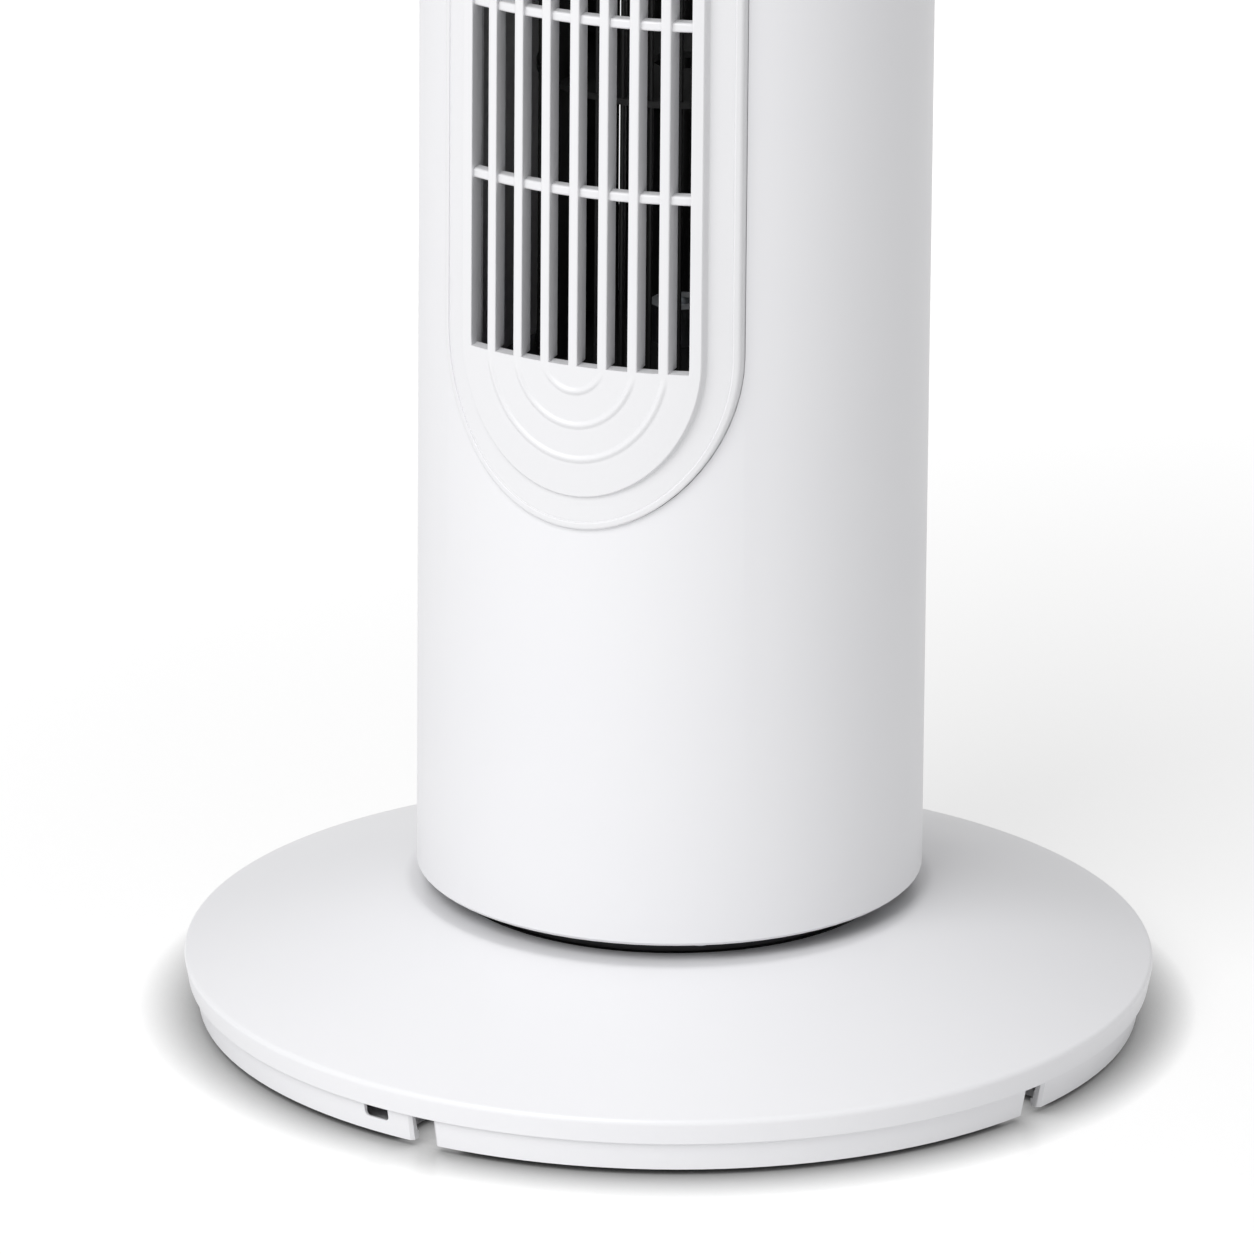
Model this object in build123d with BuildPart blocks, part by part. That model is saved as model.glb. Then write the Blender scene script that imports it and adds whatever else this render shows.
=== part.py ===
from build123d import *
import math
import os

# Tower fan. Millimetres, +Z up, the origin on the floor under the column's axis, the air outlet facing -Y.
# Directions round the axis are given as a bearing: degrees from the front (-Y) towards +X.

# --------------------------------------------------------------------------------------------------
# Driving dimensions
# --------------------------------------------------------------------------------------------------

# Base
base_radius = 150.0
foot_height = 2.0
foot_radius = 9.0
foot_circle = 126.0
foot_count = 6
skirt_height = 9.3  # lower band, part of the tray
skirt_top_radius = 147.2
skirt_draft = 2.0  # the lower band is this much smaller at the floor
rim_height = 7.8  # upper band, part of the cover
rim_draft = 1.5
rim_edge_radius = 2.0
tray_wall = 2.5
tray_floor = 2.5
cover_wall = 2.5
dome_height = 23.4  # from the rim to the ledge round the turntable recess
dome_crown = 0.8  # how far the dome's arc stands above its chord
base_bearing = 32.1  # the base's own front, which the notches are placed from
notch_spread = 39.9  # a notch each side of the base's front and each side of its back
notch_width = 7.6
notch_corner = 1.0  # chamfer
notch_pocket_width = 20.0  # in the tray's floor, behind the skirt
notch_pocket_depth = 18.0
cord_slot_bearing = -14.3
cord_slot_width = 9.0
cord_slot_depth = 4.5
cord_slot_corner = 1.5
cord_lip = 1.8  # depth and width of the lip that is left round the outlet
base_screw_circle = 120.0
base_screw_count = 6
base_screw_angle = 30.0
base_boss_radius = 5.0
gear_boss_radius = 3.3
gear_boss_height = 6.0

# Turntable
ledge_radius = 81.0  # of the flat ledge round the turntable recess, where the dome ends
recess_radius = 67.6
recess_depth = 2.3
post_flange_radius = 26.0
post_flange_height = 3.0
post_radius = 12.0
post_bore = 8.5
post_reach = 6.5  # above the hub
post_screw_circle = 21.0
post_screw_count = 4
post_screw_angle = 45.0
support_tube_radius = 40.0
support_tube_wall = 2.5
support_gate_width = 14.0
support_gate_height = 10.0
gear_module = 1.5
gear_teeth = 48
pinion_teeth = 12
pressure_angle = 20.0
flank_steps = 5
tooth_addendum = 0.8  # of the module
tooth_dedendum = 1.0  # of the module
tooth_backlash = 0.16
gear_height = 5.5
gear_bore = 26.2
gear_screw_circle = 30.4
gear_screw_count = 4
pinion_height = 5.0
pinion_lift = 0.4
pinion_shaft_radius = 2.5
washer_height = 1.0
washer_radius = 17.0
slide_ring_inner = 60.0
slide_ring_outer = 67.0
slide_ring_height = 2.0
turntable_gap = 0.15  # axial, between the slide ring and the turning skirt
plate_skirt_inner = 61.0
plate_skirt_outer = 66.0
hub_wall = 3.5
hub_rise = 9.5  # above the turntable plate
clip_thickness = 1.4
clip_radius = 15.0
clip_groove_depth = 1.0
clip_opening = 60.0  # degrees

# Column
column_radius = 78.0
column_wall = 2.5
column_gap = 5.7  # between the ledge round the turntable recess and the column
column_edge_chamfer = 1.0
plate_inset = 1.0  # the turntable plate stands this far up inside the shells
plate_thickness = 3.0
seam_y = 36.0  # the front shell wraps round the sides as far as this plane
seam_gap = 0.3
shell_boss_circle = 71.5
shell_boss_radius = 5.0
shell_boss_height = 14.0
front_boss_bearings = (-90.0, -30.0, 30.0, 90.0)
rear_boss_bearings = (145.0, 215.0)
seam_boss_x = 60.0
seam_boss_radius = 4.5
seam_boss_depth = 16.0
seam_boss_levels = (80.0, 190.0)
seam_boss_drop = 67.0  # from the shells' top to the highest seam bosses
seam_head_depth = 7.0  # the head of a shell screw sits this far behind the seam
seam_web = 3.0
ledge_width = 3.5
ledge_height = 2.5
ledge_half_angle = 9.0
ledge_bearings = (-100.0, -52.0, 52.0, 100.0)

# Front grille
grille_bottom = 232.3  # lower edge of the open field
grille_drop = 92.7  # from the shells' top to the field's upper edge
pane_count = 8
grille_face_radius = 115.0  # the grille is flatter than the column
grille_proud = 1.6  # of the column, along the grille's middle line
band_radius = 87.0  # of the rim round the frame, which falls away more than the face
band_proud = 1.4
band_recess = 0.9  # of the band between the frame and the rim
arch_stretch = 1.15  # height of the grille's arches over their half width
arch_rise = 3.7  # from the field's ends to the middle of the arches
grille_half_width = 48.3
grille_rim = 1.8
frame_inner = 35.5
frame_outer = 39.1
frame_overlap = 1.2  # how far the plates and the band run into the frame
plate_recess = 1.6
grille_plate = 2.6
slat_pitch = 9.33
slat_count = 7
slat_width = 3.0
slat_depth = 8.0
bar_height = 3.0
bar_depth = 4.0
bar_setback = 1.6

# Rear grille
rear_half_angle = 48.0
rear_slat_count = 16
rear_slat_width = 2.4
rear_frame = 4.0
rear_bar_height = 3.0

# Carrying handle pocket
handle_width = 90.0
handle_height = 34.0
handle_drop = 48.0  # from the shells' top
handle_depth = 28.0
handle_wall = 2.0
handle_corner = 6.0
handle_flange = 6.0  # of the cup's rim beyond its mouth, flush with the shell

# Bulkheads and air duct
motor_plate_level = 206.0
bearing_plate_drop = 85.0  # from the shells' top
bulkhead_thickness = 3.0
bulkhead_gap = 1.6  # radial, to the shells, which carry the bulkheads on ledges
duct_wall = 2.0
duct_gap = 0.5
loom_hole_radius = 3.4
hub_clearance = 2.0
scroll_lip = (-46.0, 26.0)
scroll_seat = (-66.0, 31.0)
scroll_swell = (-54.0, -12.0)
tongue_nose = (33.0, -38.0)
tongue_turn = (41.0, -31.0)
tongue_seat = (69.5, -22.0)

# Impeller
impeller_y = 4.0
impeller_radius = 44.0
impeller_inner_radius = 36.0
impeller_bottom = 214.0
impeller_end_gap = 12.0  # under the bearing plate
impeller_section_count = 5
impeller_disc = 2.0
blade_count = 30
blade_thickness = 1.2
blade_bow = 10.0  # radius of a blade's curve
impeller_hub_radius = 9.0
impeller_hub_height = 16.0
impeller_hub_drop = 2.0
stub_radius = 4.0
set_screw_radius = 2.0
set_screw_socket = 2.0

# Motor
motor_shaft_radius = 4.0
motor_shaft_bottom = 144.0
motor_shaft_top = 226.0
stator_radius = 38.0
stator_bore = 20.0
stator_bottom = 160.0
stator_height = 30.0
air_gap = 0.4
rotor_overhang = 2.0
winding_inner = 23.0
winding_outer = 30.5
winding_height = 8.0
housing_radius = 40.0
housing_wall = 2.0
housing_depth = 12.0
bush_radius = 7.0
bush_height = 7.0
boss_wall = 2.5
bolt_sleeve_wall = 1.5
motor_bolt_circle = 35.0
motor_bolt_radius = 2.0
motor_bolt_bearings = (45.0, 135.0, 225.0, 315.0)
grommet_radius = 5.5
bearing_height = 12.0
bearing_rubber = 5.0
bearing_cup_wall = 2.5

# Oscillation motor
swing_motor_radius = 25.0
swing_motor_height = 20.0
swing_motor_offset = 4.0  # of the body behind its output
swing_motor_lift = 2.0
swing_boss_radius = 5.0
swing_ear_x = 29.0
swing_ear_radius = 4.5
swing_ear_thickness = 1.6

# Electrical pieces
capacitor_size = (40.0, 22.0, 28.0)
capacitor_y = -38.0
terminal_size = (14.0, 26.0, 12.0)
terminal_x = -52.0
terminal_y = -14.0
loom_radius = 2.0
loom_x = -69.5
loom_bend = 14.0
loom_rise = 26.0
loom_crossing = 30.0
loom_upper = 20.0  # above the bearing plate
loom_entry = (-44.5, -24.0)
loom_entry_drop = 22.0
clip_levels = (150.0, 260.0, 380.0, 500.0, 620.0)
clip_size = (7.0, 8.0, 6.0)

# Top cap and controls
cap_top = 780.0  # the whole height
cap_height = 23.0
cap_edge_radius = 8.0
cap_spigot = 5.0
cap_spigot_wall = 2.3
panel_radius = 60.0
panel_thickness = 3.0
panel_inset = 1.0
panel_ledge = 4.0
button_size = (14.0, 11.0)
button_corner = 2.0
button_rise = 4.0
button_travel = 3.0
button_pitch = 17.0
button_y = -28.0
button_body = 11.0
button_flange = 1.0
button_flange_height = 2.0
stem_size = (6.0, 4.0)
stem_length = 10.5
switch_size = (100.0, 26.0, 26.0)
switch_drop = 12.0  # from the panel's underside to the switch block
switch_post_x = 46.5
switch_post_y = 8.0  # behind the middle of the buttons
switch_post_radius = 3.5
timer_y = 26.0
timer_radius = 20.0
timer_height = 23.0
timer_neck_radius = 7.0
timer_neck_height = 18.0
timer_shaft_radius = 3.0
timer_shaft_length = 34.0
knob_radius = 17.0
knob_height = 12.0
knob_gap = 0.6
knob_grip_width = 6.0
knob_grip_height = 4.0
knob_draft_radius = 15.5
shaft_end_gap = 1.0

# Fasteners
screw_radius = 1.75
screw_head_radius = 3.5
screw_head_height = 2.2
small_screw_radius = 1.25
small_head_radius = 2.6
small_head_height = 1.5
pilot_depth = 12.0
small_pilot_depth = 7.0
thread_reach = 11.0  # how far a screw goes into its pilot hole
post_thread_reach = 9.0
small_thread_reach = 6.0
swing_thread_reach = 4.0
boss_floor = 2.0  # left beyond a pilot hole

# Softened edges
edge_break = 0.5
soft_edge = 1.0
round_edge = 2.0

# Clearances
fit_gap = 0.2  # between pieces that drop into one another
run_gap = 0.05  # radial, between a shaft and its bush
thread_gap = 0.05  # radial, between a screw and its pilot hole
button_gap = 0.3

# --------------------------------------------------------------------------------------------------
# Levels and radii that follow from them
# --------------------------------------------------------------------------------------------------

tray_top = foot_height + skirt_height
rim_top = tray_top + rim_height
rim_bottom_radius = base_radius - rim_draft
skirt_bottom_radius = skirt_top_radius - skirt_draft
recess_edge = rim_top + dome_height
recess_floor = recess_edge - recess_depth
cover_underside = recess_floor - cover_wall
post_flange_top = recess_floor + post_flange_height
hub_radius = post_radius + run_gap + hub_wall
hub_bottom = post_flange_top + washer_height + 2 * run_gap
inner_radius = column_radius - column_wall
plate_radius = inner_radius - fit_gap
bulkhead_radius = inner_radius - bulkhead_gap
column_bottom = recess_edge + column_gap
plate_bottom = column_bottom + plate_inset
plate_top = plate_bottom + plate_thickness
hub_top = plate_top + hub_rise
post_top = hub_top + post_reach
shell_top = cap_top - cap_height
shell_height = shell_top - column_bottom
boss_reach = column_radius - column_wall / 2  # bosses and ledges run into the wall as far as its middle
gear_pitch_radius = gear_module * gear_teeth / 2
pinion_pitch_radius = gear_module * pinion_teeth / 2
pinion_y = gear_pitch_radius + pinion_pitch_radius
grille_top = shell_top - grille_drop
grille_height = grille_top - grille_bottom
pane_height = grille_height / pane_count
grille_axis_y = grille_face_radius - column_radius - grille_proud
band_axis_y = band_radius - column_radius - band_proud
lower_arch = grille_bottom + arch_rise
upper_arch = grille_top - arch_rise
handle_level = shell_top - handle_drop
grille_plate_face = grille_face_radius - plate_recess
motor_plate_top = motor_plate_level + bulkhead_thickness
bearing_plate_level = shell_top - bearing_plate_drop
bearing_plate_top = bearing_plate_level + bulkhead_thickness
impeller_top = bearing_plate_level - impeller_end_gap
section_height = (impeller_top - impeller_disc - impeller_bottom) / impeller_section_count
stator_top = stator_bottom + stator_height
housing_top = stator_top + housing_depth
housing_bottom = stator_bottom - housing_depth
swing_motor_y = pinion_y + swing_motor_offset
swing_motor_bottom = plate_top + swing_motor_lift
panel_top = cap_top - panel_inset
panel_bottom = panel_top - panel_thickness
switch_top = panel_bottom - switch_drop
switch_bottom = switch_top - switch_size[2]
timer_top = panel_bottom - timer_neck_height
button_bottom = panel_top - button_body
flange_size = (button_size[0] + 2 * button_flange, button_size[1] + 2 * button_flange)
button_names = ("button_off", "button_low", "button_medium", "button_high", "button_swing")


def bearing_point(bearing, radius):
    """The point at a bearing from the front, at a radius from the column's axis."""
    angle = math.radians(bearing)
    return (radius * math.sin(angle), -radius * math.cos(angle))


def save(piece, name):
    """Label a finished piece and write its STEP file."""
    piece.part.label = name
    export_step(piece.part, f"parts/{name}.step")


def ring(outer, inner):
    """A flat ring, in the sketch that is open."""
    Circle(outer)
    Circle(inner, mode=Mode.SUBTRACT)


def wedge(bearing, half_angle, reach):
    """A triangle from the axis that covers a range of bearings, in the sketch that is open."""
    left = bearing_point(bearing - half_angle, reach)
    right = bearing_point(bearing + half_angle, reach)
    Polygon((0, 0), right, left, align=None, mode=Mode.INTERSECT)


def arched(half_width, mode=Mode.ADD):
    """Straight sides at a distance from the grille's middle line, and an arch at each end, as a face."""
    rise = arch_stretch * half_width
    with BuildLine() as outline:
        EllipticalCenterArc((0, upper_arch), half_width, rise, start_angle=0, arc_size=180)
        Line((-half_width, upper_arch), (-half_width, lower_arch))
        EllipticalCenterArc((0, lower_arch), half_width, rise, start_angle=180, arc_size=180)
        Line((half_width, lower_arch), (half_width, upper_arch))
    make_face(outline.edges(), mode=mode)


def gear_tooth(teeth):
    """The points of one involute tooth, centred on +X."""
    pitch = gear_module * teeth / 2
    base = pitch * math.cos(math.radians(pressure_angle))
    root = pitch - tooth_dedendum * gear_module
    tip = pitch + tooth_addendum * gear_module
    half_angle = math.pi / (2 * teeth) - tooth_backlash / (2 * pitch)

    def involute(radius):
        slope = math.acos(min(1.0, base / radius))
        return math.tan(slope) - slope

    flank = []
    start = max(root, base)
    for step in range(flank_steps + 1):
        radius = start + (tip - start) * step / flank_steps
        angle = half_angle + involute(pitch) - involute(radius)
        flank.append((radius * math.cos(angle), radius * math.sin(angle)))
    foot = half_angle + involute(pitch) - involute(start)
    inside = root - gear_module / 2
    lower = [(inside * math.cos(foot), -inside * math.sin(foot))]
    lower += [(x, -y) for x, y in flank]
    upper = [(x, y) for x, y in reversed(flank)]
    upper.append((inside * math.cos(foot), inside * math.sin(foot)))
    return lower + upper


def gear_face(teeth):
    """A spur gear's face, in the sketch that is open."""
    Circle(gear_module * teeth / 2 - tooth_dedendum * gear_module)
    with PolarLocations(0, teeth):
        Polygon(*gear_tooth(teeth), align=None)


def screw_body(shank, head, head_height, length):
    """One screw, its head's underside at the origin and its shank along -Z."""
    with BuildPart() as screw:
        Cylinder(head, head_height, align=(Align.CENTER, Align.CENTER, Align.MIN))
        fillet(screw.edges().group_by(Axis.Z)[-1], head_height / 3)
        Cylinder(shank, length, align=(Align.CENTER, Align.CENTER, Align.MAX))
    return screw.part


os.makedirs("parts", exist_ok=True)

# --------------------------------------------------------------------------------------------------
# Base
# --------------------------------------------------------------------------------------------------


def dome_section(drop, inset):
    """Half of the dome's section, lowered and narrowed, as a face in the sketch that is open."""
    rim = (base_radius - inset, rim_top - drop)
    ledge = (ledge_radius, recess_edge - drop)
    edge = (recess_radius + inset, recess_edge - drop)
    middle = ((rim[0] + ledge[0]) / 2, (rim[1] + ledge[1]) / 2 + dome_crown)
    with BuildLine() as outline:
        ThreePointArc(rim, middle, ledge)
        Polyline(ledge, edge, (edge[0], recess_floor - drop), (0, recess_floor - drop), (0, tray_top))
        Polyline((0, tray_top), (rim_bottom_radius - inset, tray_top), rim)
    make_face(outline.edges())


# The hollow under the cover, with the screw bosses left standing in it
with BuildPart() as cover_hollow:
    with BuildSketch(Plane.XZ):
        dome_section(cover_wall, cover_wall)
    revolve(axis=Axis.Z)
    with BuildSketch(Plane.XY.offset(tray_top)):
        with PolarLocations(base_screw_circle, base_screw_count, start_angle=base_screw_angle):
            Circle(base_boss_radius)
        with PolarLocations(gear_screw_circle, gear_screw_count):
            Circle(gear_boss_radius)
    extrude(amount=recess_edge, mode=Mode.SUBTRACT)
    with BuildSketch(Plane.XY.offset(tray_top)):
        Circle(gear_screw_circle + base_boss_radius)
    extrude(amount=cover_underside - tray_top - gear_boss_height)

with BuildPart() as base_cover:
    with BuildSketch(Plane.XZ) as cover_section:
        dome_section(0, 0)
        rim_corner = cover_section.vertices().sort_by(Axis.X)[-1]
        fillet(rim_corner, rim_edge_radius)
    revolve(axis=Axis.Z)
    add(cover_hollow.part, mode=Mode.SUBTRACT)
    with BuildSketch(Plane.XY.offset(tray_top)):
        with PolarLocations(base_screw_circle, base_screw_count, start_angle=base_screw_angle):
            Circle(screw_radius + thread_gap)
    extrude(amount=pilot_depth, mode=Mode.SUBTRACT)
    with BuildSketch(Plane.XY.offset(recess_floor)):
        Circle(post_radius + fit_gap)
        with PolarLocations(post_screw_circle, post_screw_count, start_angle=post_screw_angle):
            Circle(screw_radius + thread_gap)
        with PolarLocations(gear_screw_circle, gear_screw_count):
            Circle(small_screw_radius + thread_gap)
    extrude(amount=-small_pilot_depth, mode=Mode.SUBTRACT)
save(base_cover, "base_cover")

# The tray: floor, skirt band, support tube under the recess, and the bosses the screws pass through
with BuildPart() as base_tray:
    with BuildSketch(Plane.XZ):
        with BuildLine():
            Polyline(
                (0, foot_height),
                (skirt_bottom_radius, foot_height),
                (skirt_top_radius, tray_top),
                (skirt_top_radius - tray_wall, tray_top),
                (skirt_bottom_radius - tray_wall, foot_height + tray_floor),
                (0, foot_height + tray_floor),
                close=True,
            )
        make_face()
    revolve(axis=Axis.Z)
    with BuildSketch(Plane.XY.offset(foot_height)):
        ring(support_tube_radius, support_tube_radius - support_tube_wall)
        with PolarLocations(post_screw_circle, post_screw_count, start_angle=post_screw_angle):
            Circle(base_boss_radius - fit_gap)
    extrude(amount=cover_underside - foot_height)
    with BuildSketch(Plane.XY.offset(foot_height)):
        with PolarLocations(base_screw_circle, base_screw_count, start_angle=base_screw_angle):
            Circle(base_boss_radius)
    extrude(amount=skirt_height)
    with BuildSketch(Plane.XY.offset(foot_height)):
        with PolarLocations(base_screw_circle, base_screw_count, start_angle=base_screw_angle):
            Circle(screw_radius + fit_gap)
    extrude(amount=skirt_height, mode=Mode.SUBTRACT)
    with BuildSketch(Plane.XY.offset(foot_height)):
        with PolarLocations(base_screw_circle, base_screw_count, start_angle=base_screw_angle):
            Circle(screw_head_radius + fit_gap)
    extrude(amount=screw_head_height + fit_gap, mode=Mode.SUBTRACT)
    with BuildSketch(Plane.XY.offset(cover_underside)):
        with PolarLocations(post_screw_circle, post_screw_count, start_angle=post_screw_angle):
            Circle(screw_radius + thread_gap)
    extrude(amount=-pilot_depth, mode=Mode.SUBTRACT)
    # The gate that the cord passes through the support tube by, in line with its outlet
    cord_side = bearing_point(cord_slot_bearing, support_tube_radius)
    with BuildSketch(Plane.XY.offset(foot_height + tray_floor)):
        with Locations(Location((*cord_side, 0), (0, 0, cord_slot_bearing))):
            Rectangle(support_gate_width, 4 * support_tube_wall)
    extrude(amount=support_gate_height, mode=Mode.SUBTRACT)
    # Four notches down the skirt and through the floor behind it, their outer corners broken
    for notch in (notch_spread, -notch_spread, 180 - notch_spread, 180 + notch_spread):
        notch_side = bearing_point(base_bearing + notch, skirt_top_radius)
        notch_middle = Vector(*notch_side, foot_height + skirt_height / 2)
        with BuildSketch(Plane.XY.offset(foot_height)):
            with Locations(Location((*notch_side, 0), (0, 0, base_bearing + notch))):
                Rectangle(notch_width, 6 * tray_wall)
        extrude(amount=skirt_height, mode=Mode.SUBTRACT)
        pocket_radius = skirt_bottom_radius - 1.3 * tray_wall - notch_pocket_depth / 2
        pocket_middle = bearing_point(base_bearing + notch, pocket_radius)
        with BuildSketch(Plane.XY.offset(foot_height)):
            with Locations(Location((*pocket_middle, 0), (0, 0, base_bearing + notch))):
                Rectangle(notch_pocket_width, notch_pocket_depth)
        extrude(amount=tray_floor, mode=Mode.SUBTRACT)
        beside = [
            edge
            for edge in base_tray.edges()
            if edge.bounding_box().size.Z > skirt_height - edge_break
            and (edge.center() - notch_middle).length < notch_width / 2 + tray_wall / 2
        ]
        chamfer(beside, notch_corner)
    # The cord outlet, a U cut down from the skirt's top edge
    outlet_side = bearing_point(cord_slot_bearing, skirt_top_radius)
    outlet_plane = Plane(
        origin=(*outlet_side, tray_top - cord_slot_depth),
        x_dir=(math.cos(math.radians(cord_slot_bearing)), math.sin(math.radians(cord_slot_bearing)), 0),
        z_dir=(outlet_side[0], outlet_side[1], 0),
    )
    with BuildSketch(outlet_plane):
        outlet_align = (Align.CENTER, Align.MIN)
        RectangleRounded(cord_slot_width, 2 * cord_slot_depth, cord_slot_corner, align=outlet_align)
    extrude(amount=4 * tray_wall, both=True, mode=Mode.SUBTRACT)
    # Behind the outlet the wall is thinned to a lip
    with BuildSketch(outlet_plane.offset(-cord_lip)):
        with Locations((0, -cord_lip)):
            relief_width = cord_slot_width + 2 * cord_lip
            Rectangle(relief_width, 2 * cord_slot_depth, align=outlet_align)
    extrude(amount=-4 * tray_wall, mode=Mode.SUBTRACT)
save(base_tray, "base_tray")

with BuildPart() as rubber_feet:
    with BuildSketch():
        with PolarLocations(foot_circle, foot_count):
            Circle(foot_radius)
    extrude(amount=foot_height)
    chamfer(rubber_feet.edges().group_by(Axis.Z)[0], foot_height / 4)
save(rubber_feet, "rubber_feet")

base_screw_seat = foot_height + screw_head_height + fit_gap
base_screw_length = tray_top - base_screw_seat + thread_reach
base_screw = screw_body(screw_radius, screw_head_radius, screw_head_height, base_screw_length)
placed_base_screw = Location((0, 0, base_screw_seat), (180, 0, 0)) * base_screw
with BuildPart() as base_screws:
    with PolarLocations(base_screw_circle, base_screw_count, start_angle=base_screw_angle):
        add(placed_base_screw)
save(base_screws, "base_screws")

# --------------------------------------------------------------------------------------------------
# Turntable
# --------------------------------------------------------------------------------------------------

with BuildPart() as pivot_post:
    with BuildSketch(Plane.XY.offset(recess_floor)):
        Circle(post_flange_radius)
    extrude(amount=post_flange_height)
    with BuildSketch(Plane.XY.offset(cover_underside)):
        Circle(post_radius)
    extrude(amount=post_top - cover_underside)
    chamfer(pivot_post.edges().group_by(Axis.Z)[-1], soft_edge)
    with BuildSketch(Plane.XY.offset(hub_top + fit_gap)):
        ring(post_radius + clip_groove_depth, post_radius - clip_groove_depth)
    extrude(amount=clip_thickness, mode=Mode.SUBTRACT)
    with BuildSketch(Plane.XY.offset(cover_underside)):
        Circle(post_bore)
        with PolarLocations(post_screw_circle, post_screw_count, start_angle=post_screw_angle):
            Circle(screw_radius + fit_gap)
    extrude(amount=post_top, mode=Mode.SUBTRACT)
save(pivot_post, "pivot_post")

post_screw_length = post_flange_height + cover_wall + post_thread_reach
post_screw = screw_body(screw_radius, screw_head_radius, screw_head_height, post_screw_length)
placed_post_screw = Location((0, 0, post_flange_top)) * post_screw
with BuildPart() as post_screws:
    with PolarLocations(post_screw_circle, post_screw_count, start_angle=post_screw_angle):
        add(placed_post_screw)
save(post_screws, "post_screws")

with BuildPart() as fixed_gear:
    with BuildSketch(Plane.XY.offset(recess_floor)):
        gear_face(gear_teeth)
        Circle(gear_bore, mode=Mode.SUBTRACT)
        with PolarLocations(gear_screw_circle, gear_screw_count):
            Circle(small_screw_radius + fit_gap, mode=Mode.SUBTRACT)
    extrude(amount=gear_height)
save(fixed_gear, "fixed_gear")

gear_screw_length = gear_height + small_thread_reach
gear_screw = screw_body(small_screw_radius, small_head_radius, small_head_height, gear_screw_length)
placed_gear_screw = Location((0, 0, recess_floor + gear_height)) * gear_screw
with BuildPart() as gear_screws:
    with PolarLocations(gear_screw_circle, gear_screw_count):
        add(placed_gear_screw)
save(gear_screws, "gear_screws")

with BuildPart() as thrust_washer:
    with BuildSketch(Plane.XY.offset(post_flange_top)):
        ring(washer_radius, post_radius + fit_gap)
    extrude(amount=washer_height)
save(thrust_washer, "thrust_washer")

with BuildPart() as slide_ring:
    with BuildSketch(Plane.XY.offset(recess_floor)):
        ring(slide_ring_outer, slide_ring_inner)
    extrude(amount=slide_ring_height)
    fillet(slide_ring.edges().group_by(Axis.Z)[-1], edge_break)
save(slide_ring, "slide_ring")

with BuildPart() as retaining_clip:
    with BuildSketch(Plane.XY.offset(hub_top + fit_gap)):
        ring(clip_radius, post_radius - clip_groove_depth + run_gap)
        mouth_left = bearing_point(-clip_opening / 2, 2 * clip_radius)
        mouth_right = bearing_point(clip_opening / 2, 2 * clip_radius)
        Polygon((0, 0), mouth_right, mouth_left, align=None, mode=Mode.SUBTRACT)
    extrude(amount=clip_thickness)
save(retaining_clip, "retaining_clip")

front_boss_points = [bearing_point(bearing, shell_boss_circle) for bearing in front_boss_bearings]
rear_boss_points = [bearing_point(bearing, shell_boss_circle) for bearing in rear_boss_bearings]

# The plate under the column, with the hub that turns on the post and the skirt that rides on the slide ring
with BuildPart() as turntable_plate:
    with BuildSketch(Plane.XY.offset(plate_bottom)):
        Circle(plate_radius)
    extrude(amount=plate_thickness)
    with BuildSketch(Plane.XY.offset(hub_bottom)):
        Circle(hub_radius)
    extrude(amount=hub_top - hub_bottom)
    with BuildSketch(Plane.XY.offset(recess_floor + slide_ring_height + turntable_gap)):
        ring(plate_skirt_outer, plate_skirt_inner)
    extrude(until=Until.NEXT)
    with BuildSketch(Plane.XY.offset(plate_top)):
        with Locations((swing_ear_x, swing_motor_y), (-swing_ear_x, swing_motor_y)):
            Circle(swing_ear_radius)
    extrude(amount=swing_motor_lift)
    with BuildSketch(Plane.XY.offset(hub_bottom)):
        Circle(post_radius + run_gap)
    extrude(amount=hub_top, mode=Mode.SUBTRACT)
    with BuildSketch(Plane.XY.offset(plate_bottom)):
        with Locations((0, pinion_y)):
            Circle(swing_boss_radius + fit_gap)
        with Locations((swing_ear_x, swing_motor_y), (-swing_ear_x, swing_motor_y)):
            Circle(screw_radius + thread_gap)
        with Locations(*front_boss_points, *rear_boss_points):
            Circle(screw_radius + fit_gap)
    extrude(amount=plate_thickness + swing_motor_lift, mode=Mode.SUBTRACT)
save(turntable_plate, "turntable_plate")

column_screw_length = plate_thickness + thread_reach
column_screw = screw_body(screw_radius, screw_head_radius, screw_head_height, column_screw_length)
placed_column_screw = Location((0, 0, plate_bottom), (180, 0, 0)) * column_screw
with BuildPart() as column_screws:
    with Locations(*front_boss_points, *rear_boss_points):
        add(placed_column_screw)
save(column_screws, "column_screws")

# --------------------------------------------------------------------------------------------------
# Column shells
# --------------------------------------------------------------------------------------------------

seam_levels = (*seam_boss_levels, shell_top - seam_boss_drop)
seam_points = [(side * seam_boss_x, level) for side in (-1, 1) for level in seam_levels]
seam_web_points = [(side * inner_radius, level) for side in (-1, 1) for level in seam_levels]


def seam_bosses(start, depth):
    """Bosses along Y for the shell screws, with webs out to the wall, trimmed to the column."""
    with BuildPart() as bosses:
        with BuildSketch(Plane.XZ.offset(-start)):
            with Locations(*seam_points):
                Circle(seam_boss_radius)
            with Locations(*seam_web_points):
                Rectangle(2 * (inner_radius - seam_boss_x), seam_web)
        extrude(amount=-depth)
        with BuildSketch(Plane.XY.offset(column_bottom)):
            Circle(boss_reach)
        extrude(amount=shell_height, mode=Mode.INTERSECT)
    return bosses.part


# The whole tube, which the seam then divides
with BuildPart() as column_tube:
    with BuildSketch(Plane.XZ) as tube_section:
        with Locations((inner_radius, column_bottom)):
            Rectangle(column_wall, shell_height, align=(Align.MIN, Align.MIN))
        outer_corner = tube_section.vertices().group_by(Axis.Y)[0].sort_by(Axis.X)[-1]
        chamfer(outer_corner, column_edge_chamfer)
    revolve(axis=Axis.Z)

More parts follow.
